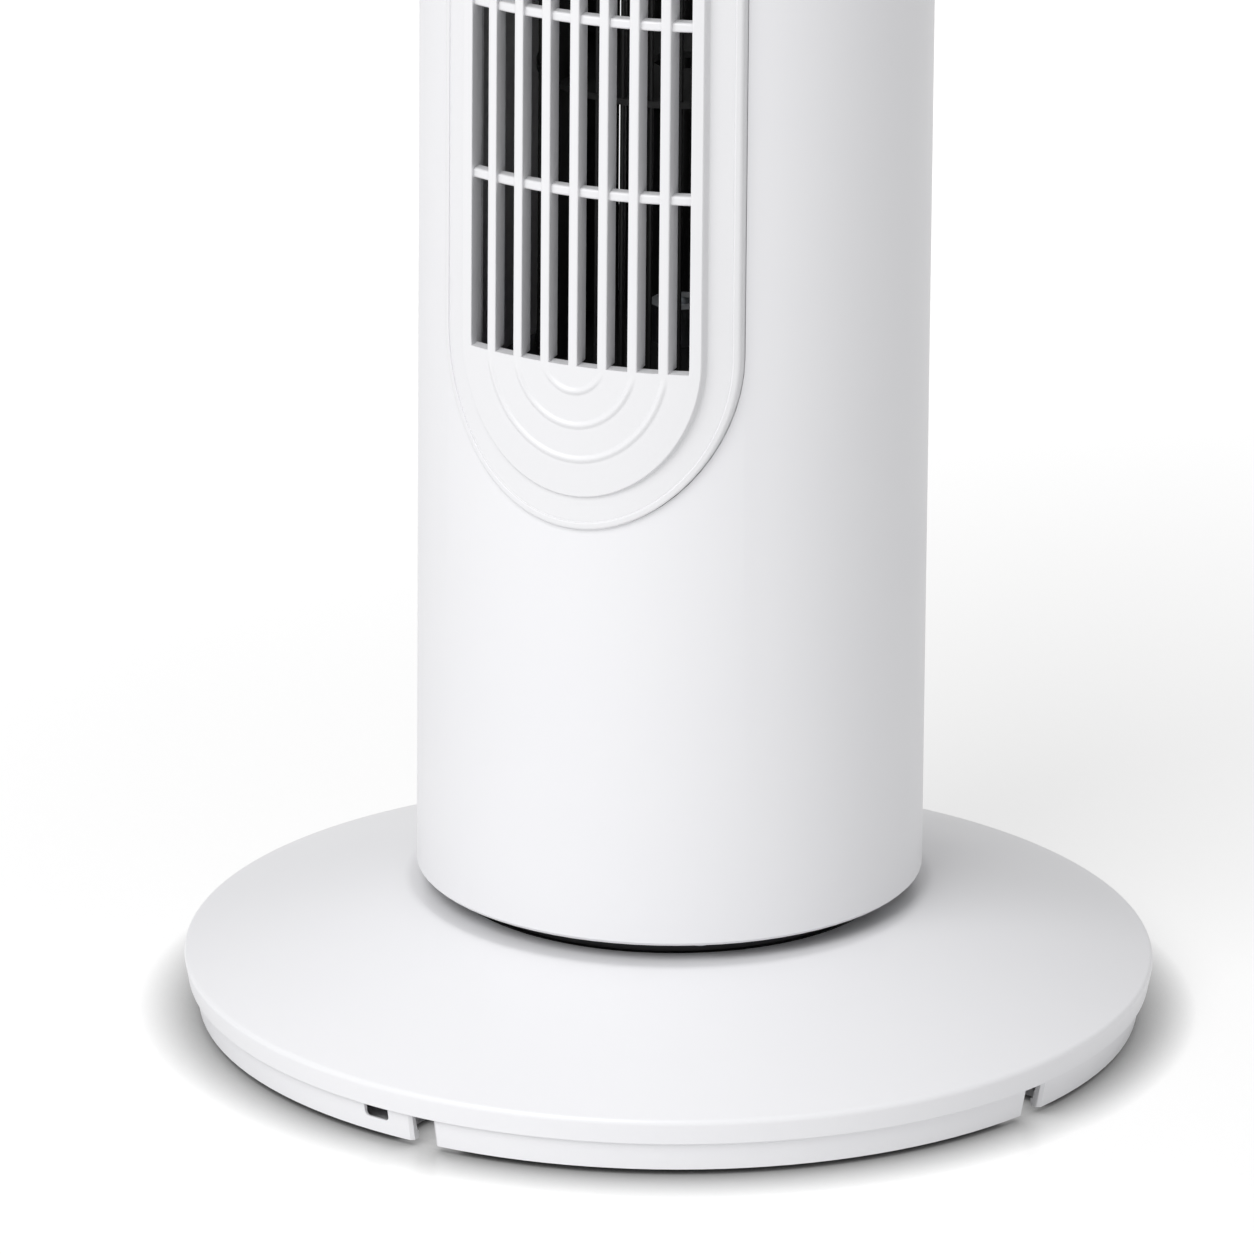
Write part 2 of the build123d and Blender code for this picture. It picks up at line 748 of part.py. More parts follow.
with BuildPart() as front_shell:
    add(column_tube.part)
    with BuildSketch(Plane.XY.offset(column_bottom)):
        with Locations((0, seam_y + column_radius)):
            Rectangle(4 * column_radius, 2 * column_radius)
    extrude(amount=shell_height, mode=Mode.SUBTRACT)
    with BuildSketch(Plane.XY.offset(plate_top)):
        with Locations(*front_boss_points):
            Circle(shell_boss_radius)
        Circle(boss_reach, mode=Mode.INTERSECT)
    extrude(amount=shell_boss_height)
    for level in (motor_plate_level, bearing_plate_level):
        for bearing in ledge_bearings:
            with BuildSketch(Plane.XY.offset(level - ledge_height)):
                ring(boss_reach, inner_radius - ledge_width)
                wedge(bearing, ledge_half_angle, 2 * column_radius)
            extrude(amount=ledge_height)
    add(seam_bosses(seam_y - seam_boss_depth, seam_boss_depth))
    with BuildSketch(Plane.XY.offset(plate_top)):
        with Locations(*front_boss_points):
            Circle(screw_radius + thread_gap)
    extrude(amount=shell_boss_height - boss_floor, mode=Mode.SUBTRACT)
    with BuildSketch(Plane.XZ.offset(-seam_y)):
        with Locations(*seam_points):
            Circle(screw_radius + thread_gap)
    extrude(amount=seam_boss_depth - boss_floor, mode=Mode.SUBTRACT)
    # The window that the grille drops into
    with BuildSketch(Plane.XZ.offset(column_radius / 2)):
        arched(grille_half_width + fit_gap)
    extrude(amount=column_radius, mode=Mode.SUBTRACT)
save(front_shell, "front_shell")

with BuildPart() as rear_shell:
    add(column_tube.part)
    with BuildSketch(Plane.XY.offset(column_bottom)):
        with Locations((0, seam_y + seam_gap - 2 * column_radius)):
            Rectangle(4 * column_radius, 4 * column_radius)
    extrude(amount=shell_height, mode=Mode.SUBTRACT)
    with BuildSketch(Plane.XY.offset(plate_top)):
        with Locations(*rear_boss_points):
            Circle(shell_boss_radius)
        Circle(boss_reach, mode=Mode.INTERSECT)
    extrude(amount=shell_boss_height)
    add(seam_bosses(seam_y + seam_gap, seam_boss_depth))
    with BuildSketch(Plane.XY.offset(plate_top)):
        with Locations(*rear_boss_points):
            Circle(screw_radius + thread_gap)
    extrude(amount=shell_boss_height - boss_floor, mode=Mode.SUBTRACT)
    with BuildSketch(Plane.XZ.offset(-seam_y)):
        with Locations(*seam_points):
            Circle(screw_radius + fit_gap)
    extrude(amount=-column_radius, mode=Mode.SUBTRACT)
    with BuildSketch(Plane.XZ.offset(-seam_y - seam_head_depth)):
        with Locations(*seam_points):
            Circle(screw_head_radius + fit_gap)
    extrude(amount=-column_radius, mode=Mode.SUBTRACT)
    # The window of the intake grille, and the hole of the handle pocket
    with BuildSketch(Plane.XY.offset(grille_bottom)):
        Circle(2 * column_radius)
        wedge(180, rear_half_angle, 2 * column_radius)
    extrude(amount=grille_height, mode=Mode.SUBTRACT)
    with BuildSketch(Plane.XZ.offset(-seam_y)):
        with Locations((0, handle_level)):
            RectangleRounded(
                handle_width + 2 * handle_flange,
                handle_height + 2 * handle_flange,
                handle_corner + handle_flange,
            )
            offset(amount=fit_gap)
    extrude(amount=-column_radius, mode=Mode.SUBTRACT)
save(rear_shell, "rear_shell")

shell_screw = screw_body(screw_radius, screw_head_radius, screw_head_height, seam_head_depth + thread_reach)
placed_shell_screws = [
    Location((seam_x, seam_y + seam_head_depth, seam_z), (-90, 0, 0)) * shell_screw
    for seam_x, seam_z in seam_points
]
with BuildPart() as shell_screws:
    add(placed_shell_screws)
save(shell_screws, "shell_screws")

# --------------------------------------------------------------------------------------------------
# Grilles and handle pocket
# --------------------------------------------------------------------------------------------------

grille_plane = Plane.XZ.offset(column_radius / 4)
grille_middle = (0, (grille_bottom + grille_top) / 2)


def grille_layer(axis_y, face_radius, depth):
    """The space between two cylinders round an axis of the grille, as tall as the shells."""
    with BuildPart() as layer:
        with BuildSketch(Plane.XY.offset(column_bottom)):
            with Locations((0, axis_y)):
                ring(face_radius, face_radius - depth)
        extrude(amount=shell_height)
    return layer.part


# Plates that close the ends of the field
with BuildPart() as grille_plate_part:
    add(grille_layer(grille_axis_y, grille_plate_face, grille_plate))
    with BuildSketch(grille_plane):
        arched(frame_inner + frame_overlap)
        with Locations(grille_middle):
            Rectangle(2 * frame_inner, grille_height, mode=Mode.SUBTRACT)
    extrude(amount=2 * column_radius, mode=Mode.INTERSECT)

# Ridges: each pair of slats runs on as an arch round the field's end
with BuildPart() as grille_ridges:
    add(grille_layer(grille_axis_y, grille_face_radius, plate_recess + grille_plate / 2))
    with BuildSketch(grille_plane):
        for pair in range(1, slat_count // 2 + 1):
            for middle in (lower_arch, upper_arch):
                with Locations((0, middle)):
                    ridge_outer = pair * slat_pitch + slat_width / 2
                    ridge_inner = ridge_outer - slat_width
                    Ellipse(ridge_outer, arch_stretch * ridge_outer)
                    Ellipse(ridge_inner, arch_stretch * ridge_inner, mode=Mode.SUBTRACT)
        with Locations(grille_middle):
            Rectangle(2 * frame_inner, grille_height, mode=Mode.SUBTRACT)
    extrude(amount=2 * column_radius, mode=Mode.INTERSECT)

with BuildPart() as grille_frame:
    add(grille_layer(grille_axis_y, grille_face_radius, slat_depth))
    with BuildSketch(grille_plane):
        arched(frame_outer)
        arched(frame_inner, mode=Mode.SUBTRACT)
    extrude(amount=2 * column_radius, mode=Mode.INTERSECT)
    with BuildSketch(Plane.XY.offset(column_bottom)):
        Circle(inner_radius)
    extrude(amount=shell_height, mode=Mode.SUBTRACT)

# The band beside the frame lies on a rounder cylinder
with BuildPart() as grille_band:
    add(grille_layer(band_axis_y, band_radius - band_recess, grille_plate))
    with BuildSketch(grille_plane):
        arched(grille_half_width - grille_rim / 2)
        arched(frame_outer - frame_overlap, mode=Mode.SUBTRACT)
    extrude(amount=2 * column_radius, mode=Mode.INTERSECT)

# The rim goes back to the column's inner face
with BuildPart() as grille_rim_part:
    add(grille_layer(band_axis_y, band_radius, 4 * slat_depth))
    with BuildSketch(grille_plane):
        arched(grille_half_width)
        arched(grille_half_width - grille_rim, mode=Mode.SUBTRACT)
    extrude(amount=2 * column_radius, mode=Mode.INTERSECT)
    with BuildSketch(Plane.XY.offset(column_bottom)):
        Circle(inner_radius)
    extrude(amount=shell_height, mode=Mode.SUBTRACT)

with BuildPart() as grille_slats:
    add(grille_layer(grille_axis_y, grille_face_radius, slat_depth))
    with BuildSketch(grille_plane):
        with Locations(grille_middle):
            with GridLocations(slat_pitch, 0, slat_count, 1):
                Rectangle(slat_width, grille_height + slat_width)
    extrude(amount=2 * column_radius, mode=Mode.INTERSECT)

with BuildPart() as grille_bars:
    add(grille_layer(grille_axis_y, grille_face_radius - bar_setback, bar_depth))
    with BuildSketch(grille_plane):
        with Locations(grille_middle):
            with GridLocations(0, pane_height, 1, pane_count - 1):
                Rectangle(frame_inner + frame_outer, bar_height)
    extrude(amount=2 * column_radius, mode=Mode.INTERSECT)

with BuildPart() as front_grille:
    add(grille_plate_part.part)
    add(grille_ridges.part)
    add(grille_frame.part)
    add(grille_band.part)
    add(grille_rim_part.part)
    add(grille_slats.part)
    add(grille_bars.part)
save(front_grille, "front_grille")

# The intake grille follows the column, with slats in line with its axis and the front's cross bars
with BuildPart() as rear_grille:
    rear_gap_angle = math.degrees(fit_gap / column_radius)
    rear_frame_angle = math.degrees(rear_frame / column_radius)
    rear_slat_angle = math.degrees(rear_slat_width / column_radius)
    with BuildSketch(Plane.XY.offset(grille_bottom + fit_gap)):
        ring(column_radius, inner_radius)
        wedge(180, rear_half_angle - rear_gap_angle, 2 * column_radius)
    extrude(amount=grille_height - 2 * fit_gap)
    with BuildSketch(Plane.XY.offset(grille_bottom + fit_gap + rear_frame)):
        Circle(2 * column_radius)
        wedge(180, rear_half_angle - rear_gap_angle - rear_frame_angle, 2 * column_radius)
    extrude(amount=grille_height - 2 * (fit_gap + rear_frame), mode=Mode.SUBTRACT)
    rear_span = 2 * (rear_half_angle - rear_gap_angle - rear_frame_angle)
    for slat in range(rear_slat_count):
        slat_bearing = 180 - rear_span / 2 + rear_span * (slat + 1) / (rear_slat_count + 1)
        with BuildSketch(Plane.XY.offset(grille_bottom + fit_gap + rear_frame / 2)):
            ring(column_radius, inner_radius)
            wedge(slat_bearing, rear_slat_angle / 2, 2 * column_radius)
        extrude(amount=grille_height - 2 * fit_gap - rear_frame)
    for bar in range(1, pane_count):
        with BuildSketch(Plane.XY.offset(grille_bottom + bar * pane_height - rear_bar_height / 2)):
            ring(column_radius - column_wall / 4, inner_radius)
            wedge(180, rear_half_angle - rear_gap_angle - rear_frame_angle / 2, 2 * column_radius)
        extrude(amount=rear_bar_height)
save(rear_grille, "rear_grille")

pocket_width = handle_width - 2 * handle_wall
pocket_height = handle_height - 2 * handle_wall
pocket_corner = handle_corner - handle_wall
# The flange round the pocket's mouth, as thick as the shell that it lies flush in
with BuildPart() as handle_flange_part:
    with BuildSketch(Plane.XZ.offset(handle_depth - column_radius)):
        with Locations((0, handle_level)):
            RectangleRounded(
                handle_width + 2 * handle_flange,
                handle_height + 2 * handle_flange,
                handle_corner + handle_flange,
            )
            RectangleRounded(pocket_width, pocket_height, pocket_corner, mode=Mode.SUBTRACT)
    extrude(amount=-column_radius)
    with BuildSketch(Plane.XY.offset(handle_level - handle_height)):
        ring(column_radius, inner_radius)
    extrude(amount=2 * handle_height, mode=Mode.INTERSECT)
with BuildPart() as handle_cup:
    with BuildSketch(Plane.XZ.offset(handle_depth - column_radius)):
        with Locations((0, handle_level)):
            RectangleRounded(handle_width, handle_height, handle_corner)
    extrude(amount=-column_radius)
    with BuildSketch(Plane.XZ.offset(handle_depth - handle_wall - column_radius)):
        with Locations((0, handle_level)):
            RectangleRounded(pocket_width, pocket_height, pocket_corner)
    extrude(amount=-column_radius, mode=Mode.SUBTRACT)
    with BuildSketch(Plane.XY.offset(handle_level - handle_height)):
        Circle(column_radius)
    extrude(amount=2 * handle_height, mode=Mode.INTERSECT)
    add(handle_flange_part.part)
save(handle_cup, "handle_cup")

# --------------------------------------------------------------------------------------------------
# Bulkheads and air duct
# --------------------------------------------------------------------------------------------------

motor_bolt_points = [bearing_point(bearing, motor_bolt_circle) for bearing in motor_bolt_bearings]

with BuildPart() as motor_plate:
    with BuildSketch(Plane.XY.offset(motor_plate_level)):
        Circle(bulkhead_radius)
        with Locations((0, impeller_y)):
            Circle(impeller_hub_radius + hub_clearance, mode=Mode.SUBTRACT)
            with Locations(*motor_bolt_points):
                Circle(motor_bolt_radius + fit_gap, mode=Mode.SUBTRACT)
        with Locations((loom_x, terminal_y)):
            Circle(loom_hole_radius, mode=Mode.SUBTRACT)
    extrude(amount=bulkhead_thickness)
save(motor_plate, "motor_plate")

with BuildPart() as bearing_plate:
    with BuildSketch(Plane.XY.offset(bearing_plate_level)):
        Circle(bulkhead_radius)
    extrude(amount=bulkhead_thickness)
    with BuildSketch(Plane.XY.offset(bearing_plate_level)):
        with Locations((0, impeller_y)):
            Circle(bush_radius + bearing_rubber + bearing_cup_wall)
    extrude(amount=bearing_height)
    with BuildSketch(Plane.XY.offset(bearing_plate_level)):
        with Locations((0, impeller_y)):
            Circle(bush_radius + bearing_rubber)
        with Locations((loom_x, terminal_y)):
            Circle(loom_hole_radius)
    extrude(amount=bearing_height, mode=Mode.SUBTRACT)
save(bearing_plate, "bearing_plate")

duct_height = bearing_plate_level - motor_plate_top
duct_mouth_x = frame_outer - duct_wall
duct_mouth_y = duct_gap - math.sqrt(inner_radius**2 - frame_outer**2)

# The scroll widens round the impeller from its lip to the mouth
with BuildPart() as air_scroll:
    with BuildSketch(Plane.XY.offset(motor_plate_top)):
        with BuildLine() as scroll_line:
            Line(scroll_seat, scroll_lip)
            ThreePointArc(scroll_lip, scroll_swell, (-duct_mouth_x, duct_mouth_y))
        trace(line_width=duct_wall)
    extrude(amount=duct_height)
save(air_scroll, "air_scroll")

# The tongue cuts the air off the impeller on the other side
with BuildPart() as air_tongue:
    with BuildSketch(Plane.XY.offset(motor_plate_top)):
        with BuildLine() as tongue_line:
            Polyline((duct_mouth_x, duct_mouth_y), tongue_nose, tongue_turn, tongue_seat)
        trace(line_width=duct_wall)
    extrude(amount=duct_height)
save(air_tongue, "air_tongue")

# --------------------------------------------------------------------------------------------------
# Impeller: equal sections, each a disc with its blades, stacked and closed by an end disc
# --------------------------------------------------------------------------------------------------

blade_tip = impeller_radius - blade_thickness
blade_root = impeller_inner_radius + blade_thickness
for section in range(impeller_section_count):
    section_bottom = impeller_bottom + section * section_height
    with BuildPart() as impeller_section:
        with BuildSketch(Plane.XY.offset(section_bottom)):
            with Locations((0, impeller_y)):
                ring(impeller_radius, impeller_hub_radius)
        extrude(amount=impeller_disc)
        with BuildSketch(Plane.XY.offset(section_bottom)):
            with Locations((0, impeller_y)):
                with PolarLocations(0, blade_count):
                    blade_end = (blade_tip, blade_bow / 3)
                    blade_line = RadiusArc((blade_root, 0), blade_end, blade_bow, mode=Mode.PRIVATE)
                    SlotArc(blade_line, blade_thickness)
        extrude(amount=section_height)
    save(impeller_section, f"impeller_section_{section + 1}")

with BuildPart() as impeller_end_disc:
    with BuildSketch(Plane.XY.offset(impeller_top - impeller_disc)):
        with Locations((0, impeller_y)):
            Circle(impeller_radius)
    extrude(amount=impeller_disc)
    with BuildSketch(Plane.XY.offset(impeller_top)):
        with Locations((0, impeller_y)):
            Circle(impeller_hub_radius)
    extrude(amount=impeller_disc)
    with BuildSketch(Plane.XY.offset(impeller_top)):
        with Locations((0, impeller_y)):
            Circle(stub_radius)
    extrude(amount=bearing_plate_level + bearing_height - impeller_top)
save(impeller_end_disc, "impeller_end_disc")

with BuildPart() as impeller_hub:
    with BuildSketch(Plane.XY.offset(impeller_bottom - impeller_hub_drop)):
        with Locations((0, impeller_y)):
            ring(impeller_hub_radius, motor_shaft_radius)
    extrude(amount=impeller_hub_height)
    with BuildSketch(Plane.YZ):
        with Locations((impeller_y, impeller_bottom + impeller_hub_height / 2)):
            Circle(set_screw_radius + thread_gap)
    extrude(amount=2 * impeller_hub_radius, mode=Mode.SUBTRACT)
save(impeller_hub, "impeller_hub")

with BuildPart() as hub_set_screw:
    with BuildSketch(Plane.YZ.offset(motor_shaft_radius + run_gap)):
        with Locations((impeller_y, impeller_bottom + impeller_hub_height / 2)):
            Circle(set_screw_radius)
    extrude(amount=impeller_hub_radius - motor_shaft_radius - 2 * run_gap)
    with BuildSketch(Plane.YZ.offset(impeller_hub_radius - run_gap)):
        with Locations((impeller_y, impeller_bottom + impeller_hub_height / 2)):
            RegularPolygon(set_screw_radius / 2, 6)
    extrude(amount=-set_screw_socket, mode=Mode.SUBTRACT)
save(hub_set_screw, "hub_set_screw")

# --------------------------------------------------------------------------------------------------
# Motor, hung under its plate on rubber grommets
# --------------------------------------------------------------------------------------------------

with BuildPart() as motor_shaft:
    with BuildSketch(Plane.XY.offset(motor_shaft_bottom)):
        with Locations((0, impeller_y)):
            Circle(motor_shaft_radius)
    extrude(amount=motor_shaft_top - motor_shaft_bottom)
    chamfer(motor_shaft.edges().filter_by(GeomType.CIRCLE), edge_break)
save(motor_shaft, "motor_shaft")

with BuildPart() as motor_rotor:
    with BuildSketch(Plane.XY.offset(stator_bottom - rotor_overhang)):
        with Locations((0, impeller_y)):
            ring(stator_bore - air_gap, motor_shaft_radius)
    extrude(amount=stator_height + 2 * rotor_overhang)
save(motor_rotor, "motor_rotor")

with BuildPart() as stator_core:
    with BuildSketch(Plane.XY.offset(stator_bottom)):
        with Locations((0, impeller_y)):
            ring(stator_radius, stator_bore)
            with Locations(*motor_bolt_points):
                Circle(motor_bolt_radius + fit_gap, mode=Mode.SUBTRACT)
    extrude(amount=stator_height)
save(stator_core, "stator_core")

with BuildPart() as stator_windings:
    for coil_bottom in (stator_bottom - winding_height, stator_top):
        with BuildSketch(Plane.XY.offset(coil_bottom)):
            with Locations((0, impeller_y)):
                ring(winding_outer, winding_inner)
        extrude(amount=winding_height)
    coil_ends = stator_windings.faces().filter_by(Axis.Z).sort_by(Axis.Z)
    fillet(coil_ends[0].edges() + coil_ends[-1].edges(), winding_height / 4)
save(stator_windings, "stator_windings")


def motor_housing(closed, rim):
    """One of the motor's two cups, from its closed face to the rim that meets the stator core."""
    inward = math.copysign(1, rim - closed)
    with BuildPart() as housing:
        with BuildSketch(Plane.XY.offset(closed)):
            with Locations((0, impeller_y)):
                Circle(housing_radius)
        extrude(amount=rim - closed)
        with BuildSketch(Plane.XY.offset(closed + inward * housing_wall)):
            with Locations((0, impeller_y)):
                ring(stator_radius, bush_radius + boss_wall)
                with Locations(*motor_bolt_points):
                    Circle(motor_bolt_radius + bolt_sleeve_wall, mode=Mode.SUBTRACT)
        extrude(amount=rim - closed - inward * housing_wall, mode=Mode.SUBTRACT)
        with BuildSketch(Plane.XY.offset(closed)):
            with Locations((0, impeller_y)):
                Circle(bush_radius)
                with Locations(*motor_bolt_points):
                    Circle(motor_bolt_radius + fit_gap)
        extrude(amount=rim - closed, mode=Mode.SUBTRACT)
        with BuildSketch(Plane.XY.offset(closed + inward * (bush_height + housing_wall / 2))):
            with Locations((0, impeller_y)):
                Circle(bush_radius + boss_wall)
        extrude(amount=rim - closed, mode=Mode.SUBTRACT)
    return housing


motor_housing_lower = motor_housing(housing_bottom, stator_bottom)
save(motor_housing_lower, "motor_housing_lower")
motor_housing_upper = motor_housing(housing_top, stator_top)
save(motor_housing_upper, "motor_housing_upper")

with BuildPart() as motor_bushes:
    for bush_bottom in (housing_bottom, housing_top - bush_height):
        with BuildSketch(Plane.XY.offset(bush_bottom)):
            with Locations((0, impeller_y)):
                ring(bush_radius, motor_shaft_radius + run_gap)
        extrude(amount=bush_height)
save(motor_bushes, "motor_bushes")

with BuildPart() as motor_grommets:
    with BuildSketch(Plane.XY.offset(housing_top)):
        with Locations((0, impeller_y)):
            with Locations(*motor_bolt_points):
                Circle(grommet_radius)
                Circle(motor_bolt_radius + fit_gap, mode=Mode.SUBTRACT)
    extrude(amount=motor_plate_level - housing_top)
save(motor_grommets, "motor_grommets")

motor_bolt_length = motor_plate_top + 2 * screw_head_height - housing_bottom
with BuildPart() as motor_bolts:
    with BuildSketch(Plane.XY.offset(housing_bottom)):
        with Locations((0, impeller_y)):
            with Locations(*motor_bolt_points):
                Circle(motor_bolt_radius)
    extrude(amount=motor_bolt_length)
    for nut_bottom in (housing_bottom - screw_head_height, motor_plate_top):
        with BuildSketch(Plane.XY.offset(nut_bottom)):
            with Locations((0, impeller_y)):
                with Locations(*motor_bolt_points):
                    RegularPolygon(screw_head_radius, 6)
        extrude(amount=screw_head_height)
save(motor_bolts, "motor_bolts")

with BuildPart() as top_bearing:
    with BuildSketch(Plane.XY.offset(bearing_plate_level)):
        with Locations((0, impeller_y)):
            ring(bush_radius, stub_radius + run_gap)
    extrude(amount=bearing_height)
save(top_bearing, "top_bearing")

with BuildPart() as bearing_rubber_ring:
    with BuildSketch(Plane.XY.offset(bearing_plate_level)):
        with Locations((0, impeller_y)):
            ring(bush_radius + bearing_rubber, bush_radius)
    extrude(amount=bearing_height)
save(bearing_rubber_ring, "bearing_rubber_ring")

# --------------------------------------------------------------------------------------------------
# Oscillation drive
# --------------------------------------------------------------------------------------------------

with BuildPart() as swing_motor:
    with BuildSketch(Plane.XY.offset(swing_motor_bottom)):
        with Locations((0, swing_motor_y)):
            Circle(swing_motor_radius)
    extrude(amount=swing_motor_height)
    fillet(swing_motor.edges().filter_by(GeomType.CIRCLE), soft_edge)
    with BuildSketch(Plane.XY.offset(swing_motor_bottom)):
        with Locations((0, swing_motor_y)):
            SlotCenterToCenter(2 * swing_ear_x, 2 * swing_ear_radius)
    extrude(amount=swing_ear_thickness)
    with BuildSketch(Plane.XY.offset(plate_bottom)):
        with Locations((0, pinion_y)):
            Circle(swing_boss_radius)
    extrude(amount=swing_motor_bottom - plate_bottom + swing_ear_thickness)
    with BuildSketch(Plane.XY.offset(swing_motor_bottom)):
        with Locations((swing_ear_x, swing_motor_y), (-swing_ear_x, swing_motor_y)):
            Circle(screw_radius + fit_gap)
    extrude(amount=swing_ear_thickness, mode=Mode.SUBTRACT)
    with BuildSketch(Plane.XY.offset(plate_bottom)):
        with Locations((0, pinion_y)):
            Circle(pinion_shaft_radius + run_gap)
    extrude(amount=swing_motor_height / 2, mode=Mode.SUBTRACT)
save(swing_motor, "swing_motor")

swing_screw_length = swing_ear_thickness + swing_thread_reach
swing_screw = screw_body(screw_radius, screw_head_radius, screw_head_height, swing_screw_length)
ear_top = swing_motor_bottom + swing_ear_thickness
placed_swing_screws = [
    Location((side * swing_ear_x, swing_motor_y, ear_top)) * swing_screw for side in (-1, 1)
]
with BuildPart() as swing_motor_screws:
    add(placed_swing_screws)
save(swing_motor_screws, "swing_motor_screws")

pinion_bottom = recess_floor + pinion_lift
with BuildPart() as drive_pinion:
    with BuildSketch(Plane(origin=(0, pinion_y, pinion_bottom)).rotated((0, 0, 90 + 180 / pinion_teeth))):
        gear_face(pinion_teeth)
    extrude(amount=pinion_height)
    with BuildSketch(Plane.XY.offset(pinion_bottom)):
        with Locations((0, pinion_y)):
            Circle(pinion_shaft_radius)
    extrude(amount=plate_bottom + swing_motor_height / 2 - run_gap - pinion_bottom)
save(drive_pinion, "drive_pinion")

# --------------------------------------------------------------------------------------------------
# Electrical pieces
# --------------------------------------------------------------------------------------------------

with BuildPart() as run_capacitor:
    with Locations((0, capacitor_y, plate_top)):
        Box(*capacitor_size, align=(Align.CENTER, Align.CENTER, Align.MIN))
    fillet(run_capacitor.edges().filter_by(Axis.Z), round_edge)
save(run_capacitor, "run_capacitor")

with BuildPart() as terminal_block:
    with Locations((terminal_x, terminal_y, plate_top)):
        Box(*terminal_size, align=(Align.CENTER, Align.CENTER, Align.MIN))
    terminal_pitch = terminal_size[1] / 3
    with BuildSketch(Plane.XY.offset(plate_top + terminal_size[2])):
        with Locations((terminal_x, terminal_y)):
            with GridLocations(0, terminal_pitch, 1, 3):
                with Locations((terminal_size[0] / 4, 0)):
                    Circle(screw_radius)
    extrude(amount=-terminal_size[2] / 3, mode=Mode.SUBTRACT)
save(terminal_block, "terminal_block")

# The loom runs up the shell from the terminals to the switch block
with BuildPart() as wiring_loom:
    with BuildLine() as loom_route:
        loom_start = (terminal_x, terminal_y, plate_top + terminal_size[2])
        FilletPolyline(
            loom_start,
            (terminal_x, terminal_y, loom_start[2] + loom_rise),
            (loom_x, terminal_y, loom_start[2] + loom_rise + loom_crossing),
            (loom_x, terminal_y, bearing_plate_top + loom_upper),
            (*loom_entry, switch_bottom - loom_entry_drop),
            (*loom_entry, switch_bottom),
            radius=loom_bend,
        )
    with BuildSketch(Plane(origin=loom_start, z_dir=(0, 0, 1))):
        Circle(loom_radius)
    sweep(path=loom_route.wire())
save(wiring_loom, "wiring_loom")

with BuildPart() as loom_clips:
    for level in clip_levels:
        with Locations((loom_x, terminal_y, level)):
            Box(*clip_size)
    with BuildSketch(Plane.XY.offset(clip_levels[0] - clip_size[2])):
        Circle(inner_radius - fit_gap / 2)
    extrude(amount=clip_levels[-1], mode=Mode.INTERSECT)
    with BuildSketch(Plane.XY.offset(clip_levels[0] - clip_size[2])):
        with Locations((loom_x, terminal_y)):
            Circle(loom_radius + run_gap)
    extrude(amount=clip_levels[-1], mode=Mode.SUBTRACT)
save(loom_clips, "loom_clips")

# --------------------------------------------------------------------------------------------------
# Top cap and controls
# --------------------------------------------------------------------------------------------------

with BuildPart() as top_cap:
    with BuildSketch(Plane.XZ):
        with BuildLine():
            shoulder = (column_radius, cap_top - cap_edge_radius)
            crown = (column_radius - cap_edge_radius, cap_top)
            ledge_inner = panel_radius + fit_gap - panel_ledge
            ledge_bottom = panel_bottom - column_wall
            inner_shoulder = (inner_radius - cap_spigot_wall, ledge_bottom - panel_ledge)
            Line((column_radius, shell_top), shoulder)
            RadiusArc(shoulder, crown, -cap_edge_radius)
            Polyline(
                crown,
                (panel_radius + fit_gap, cap_top),
                (panel_radius + fit_gap, panel_bottom),
                (ledge_inner, panel_bottom),
                (ledge_inner, ledge_bottom),
                (inner_shoulder[0] - panel_ledge, ledge_bottom),
                inner_shoulder,
                (inner_shoulder[0], shell_top - cap_spigot),
                (plate_radius, shell_top - cap_spigot),
                (plate_radius, shell_top),
                (column_radius, shell_top),
            )
        make_face()
    revolve(axis=Axis.Z)
save(top_cap, "top_cap")

button_middle = (len(button_names) - 1) / 2
button_points = [((k - button_middle) * button_pitch, button_y) for k in range(len(button_names))]

with BuildPart() as control_panel:
    with BuildSketch(Plane.XY.offset(panel_bottom)):
        Circle(panel_radius)
        with Locations(*button_points):
            RectangleRounded(
                button_size[0] + 2 * button_gap,
                button_size[1] + 2 * button_gap,
                button_corner + button_gap,
                mode=Mode.SUBTRACT,
            )
        with Locations((0, timer_y)):
            Circle(timer_shaft_radius + 2 * fit_gap, mode=Mode.SUBTRACT)
    extrude(amount=panel_thickness)
    with BuildSketch(Plane.XY.offset(switch_top)):
        with Locations((0, button_y + switch_post_y)):
            with GridLocations(2 * switch_post_x, 0, 2, 1):
                Circle(switch_post_radius)
    extrude(amount=switch_drop)
save(control_panel, "control_panel")

with BuildPart() as switch_block:
    with Locations((0, button_y, switch_bottom)):
        Box(*switch_size, align=(Align.CENTER, Align.CENTER, Align.MIN))
    chamfer(switch_block.edges().group_by(Axis.Z)[0], soft_edge)
    with BuildSketch(Plane.XY.offset(switch_top)):
        with Locations(*button_points):
            Rectangle(stem_size[0] + 2 * button_gap, stem_size[1] + 2 * button_gap)
    extrude(amount=-switch_drop, mode=Mode.SUBTRACT)
save(switch_block, "switch_block")

for name, point in zip(button_names, button_points):
    with BuildPart() as button:
        with BuildSketch(Plane.XY.offset(button_bottom)):
            with Locations(point):
                RectangleRounded(*button_size, button_corner)
        extrude(amount=panel_top + button_rise - button_bottom)
        fillet(button.edges().group_by(Axis.Z)[-1], soft_edge)
        with BuildSketch(Plane.XY.offset(button_bottom)):
            with Locations(point):
                RectangleRounded(*flange_size, button_corner)
        extrude(amount=button_flange_height)
        with BuildSketch(Plane.XY.offset(button_bottom - stem_length)):
            with Locations(point):
                Rectangle(*stem_size)
        extrude(amount=stem_length)
    save(button, name)

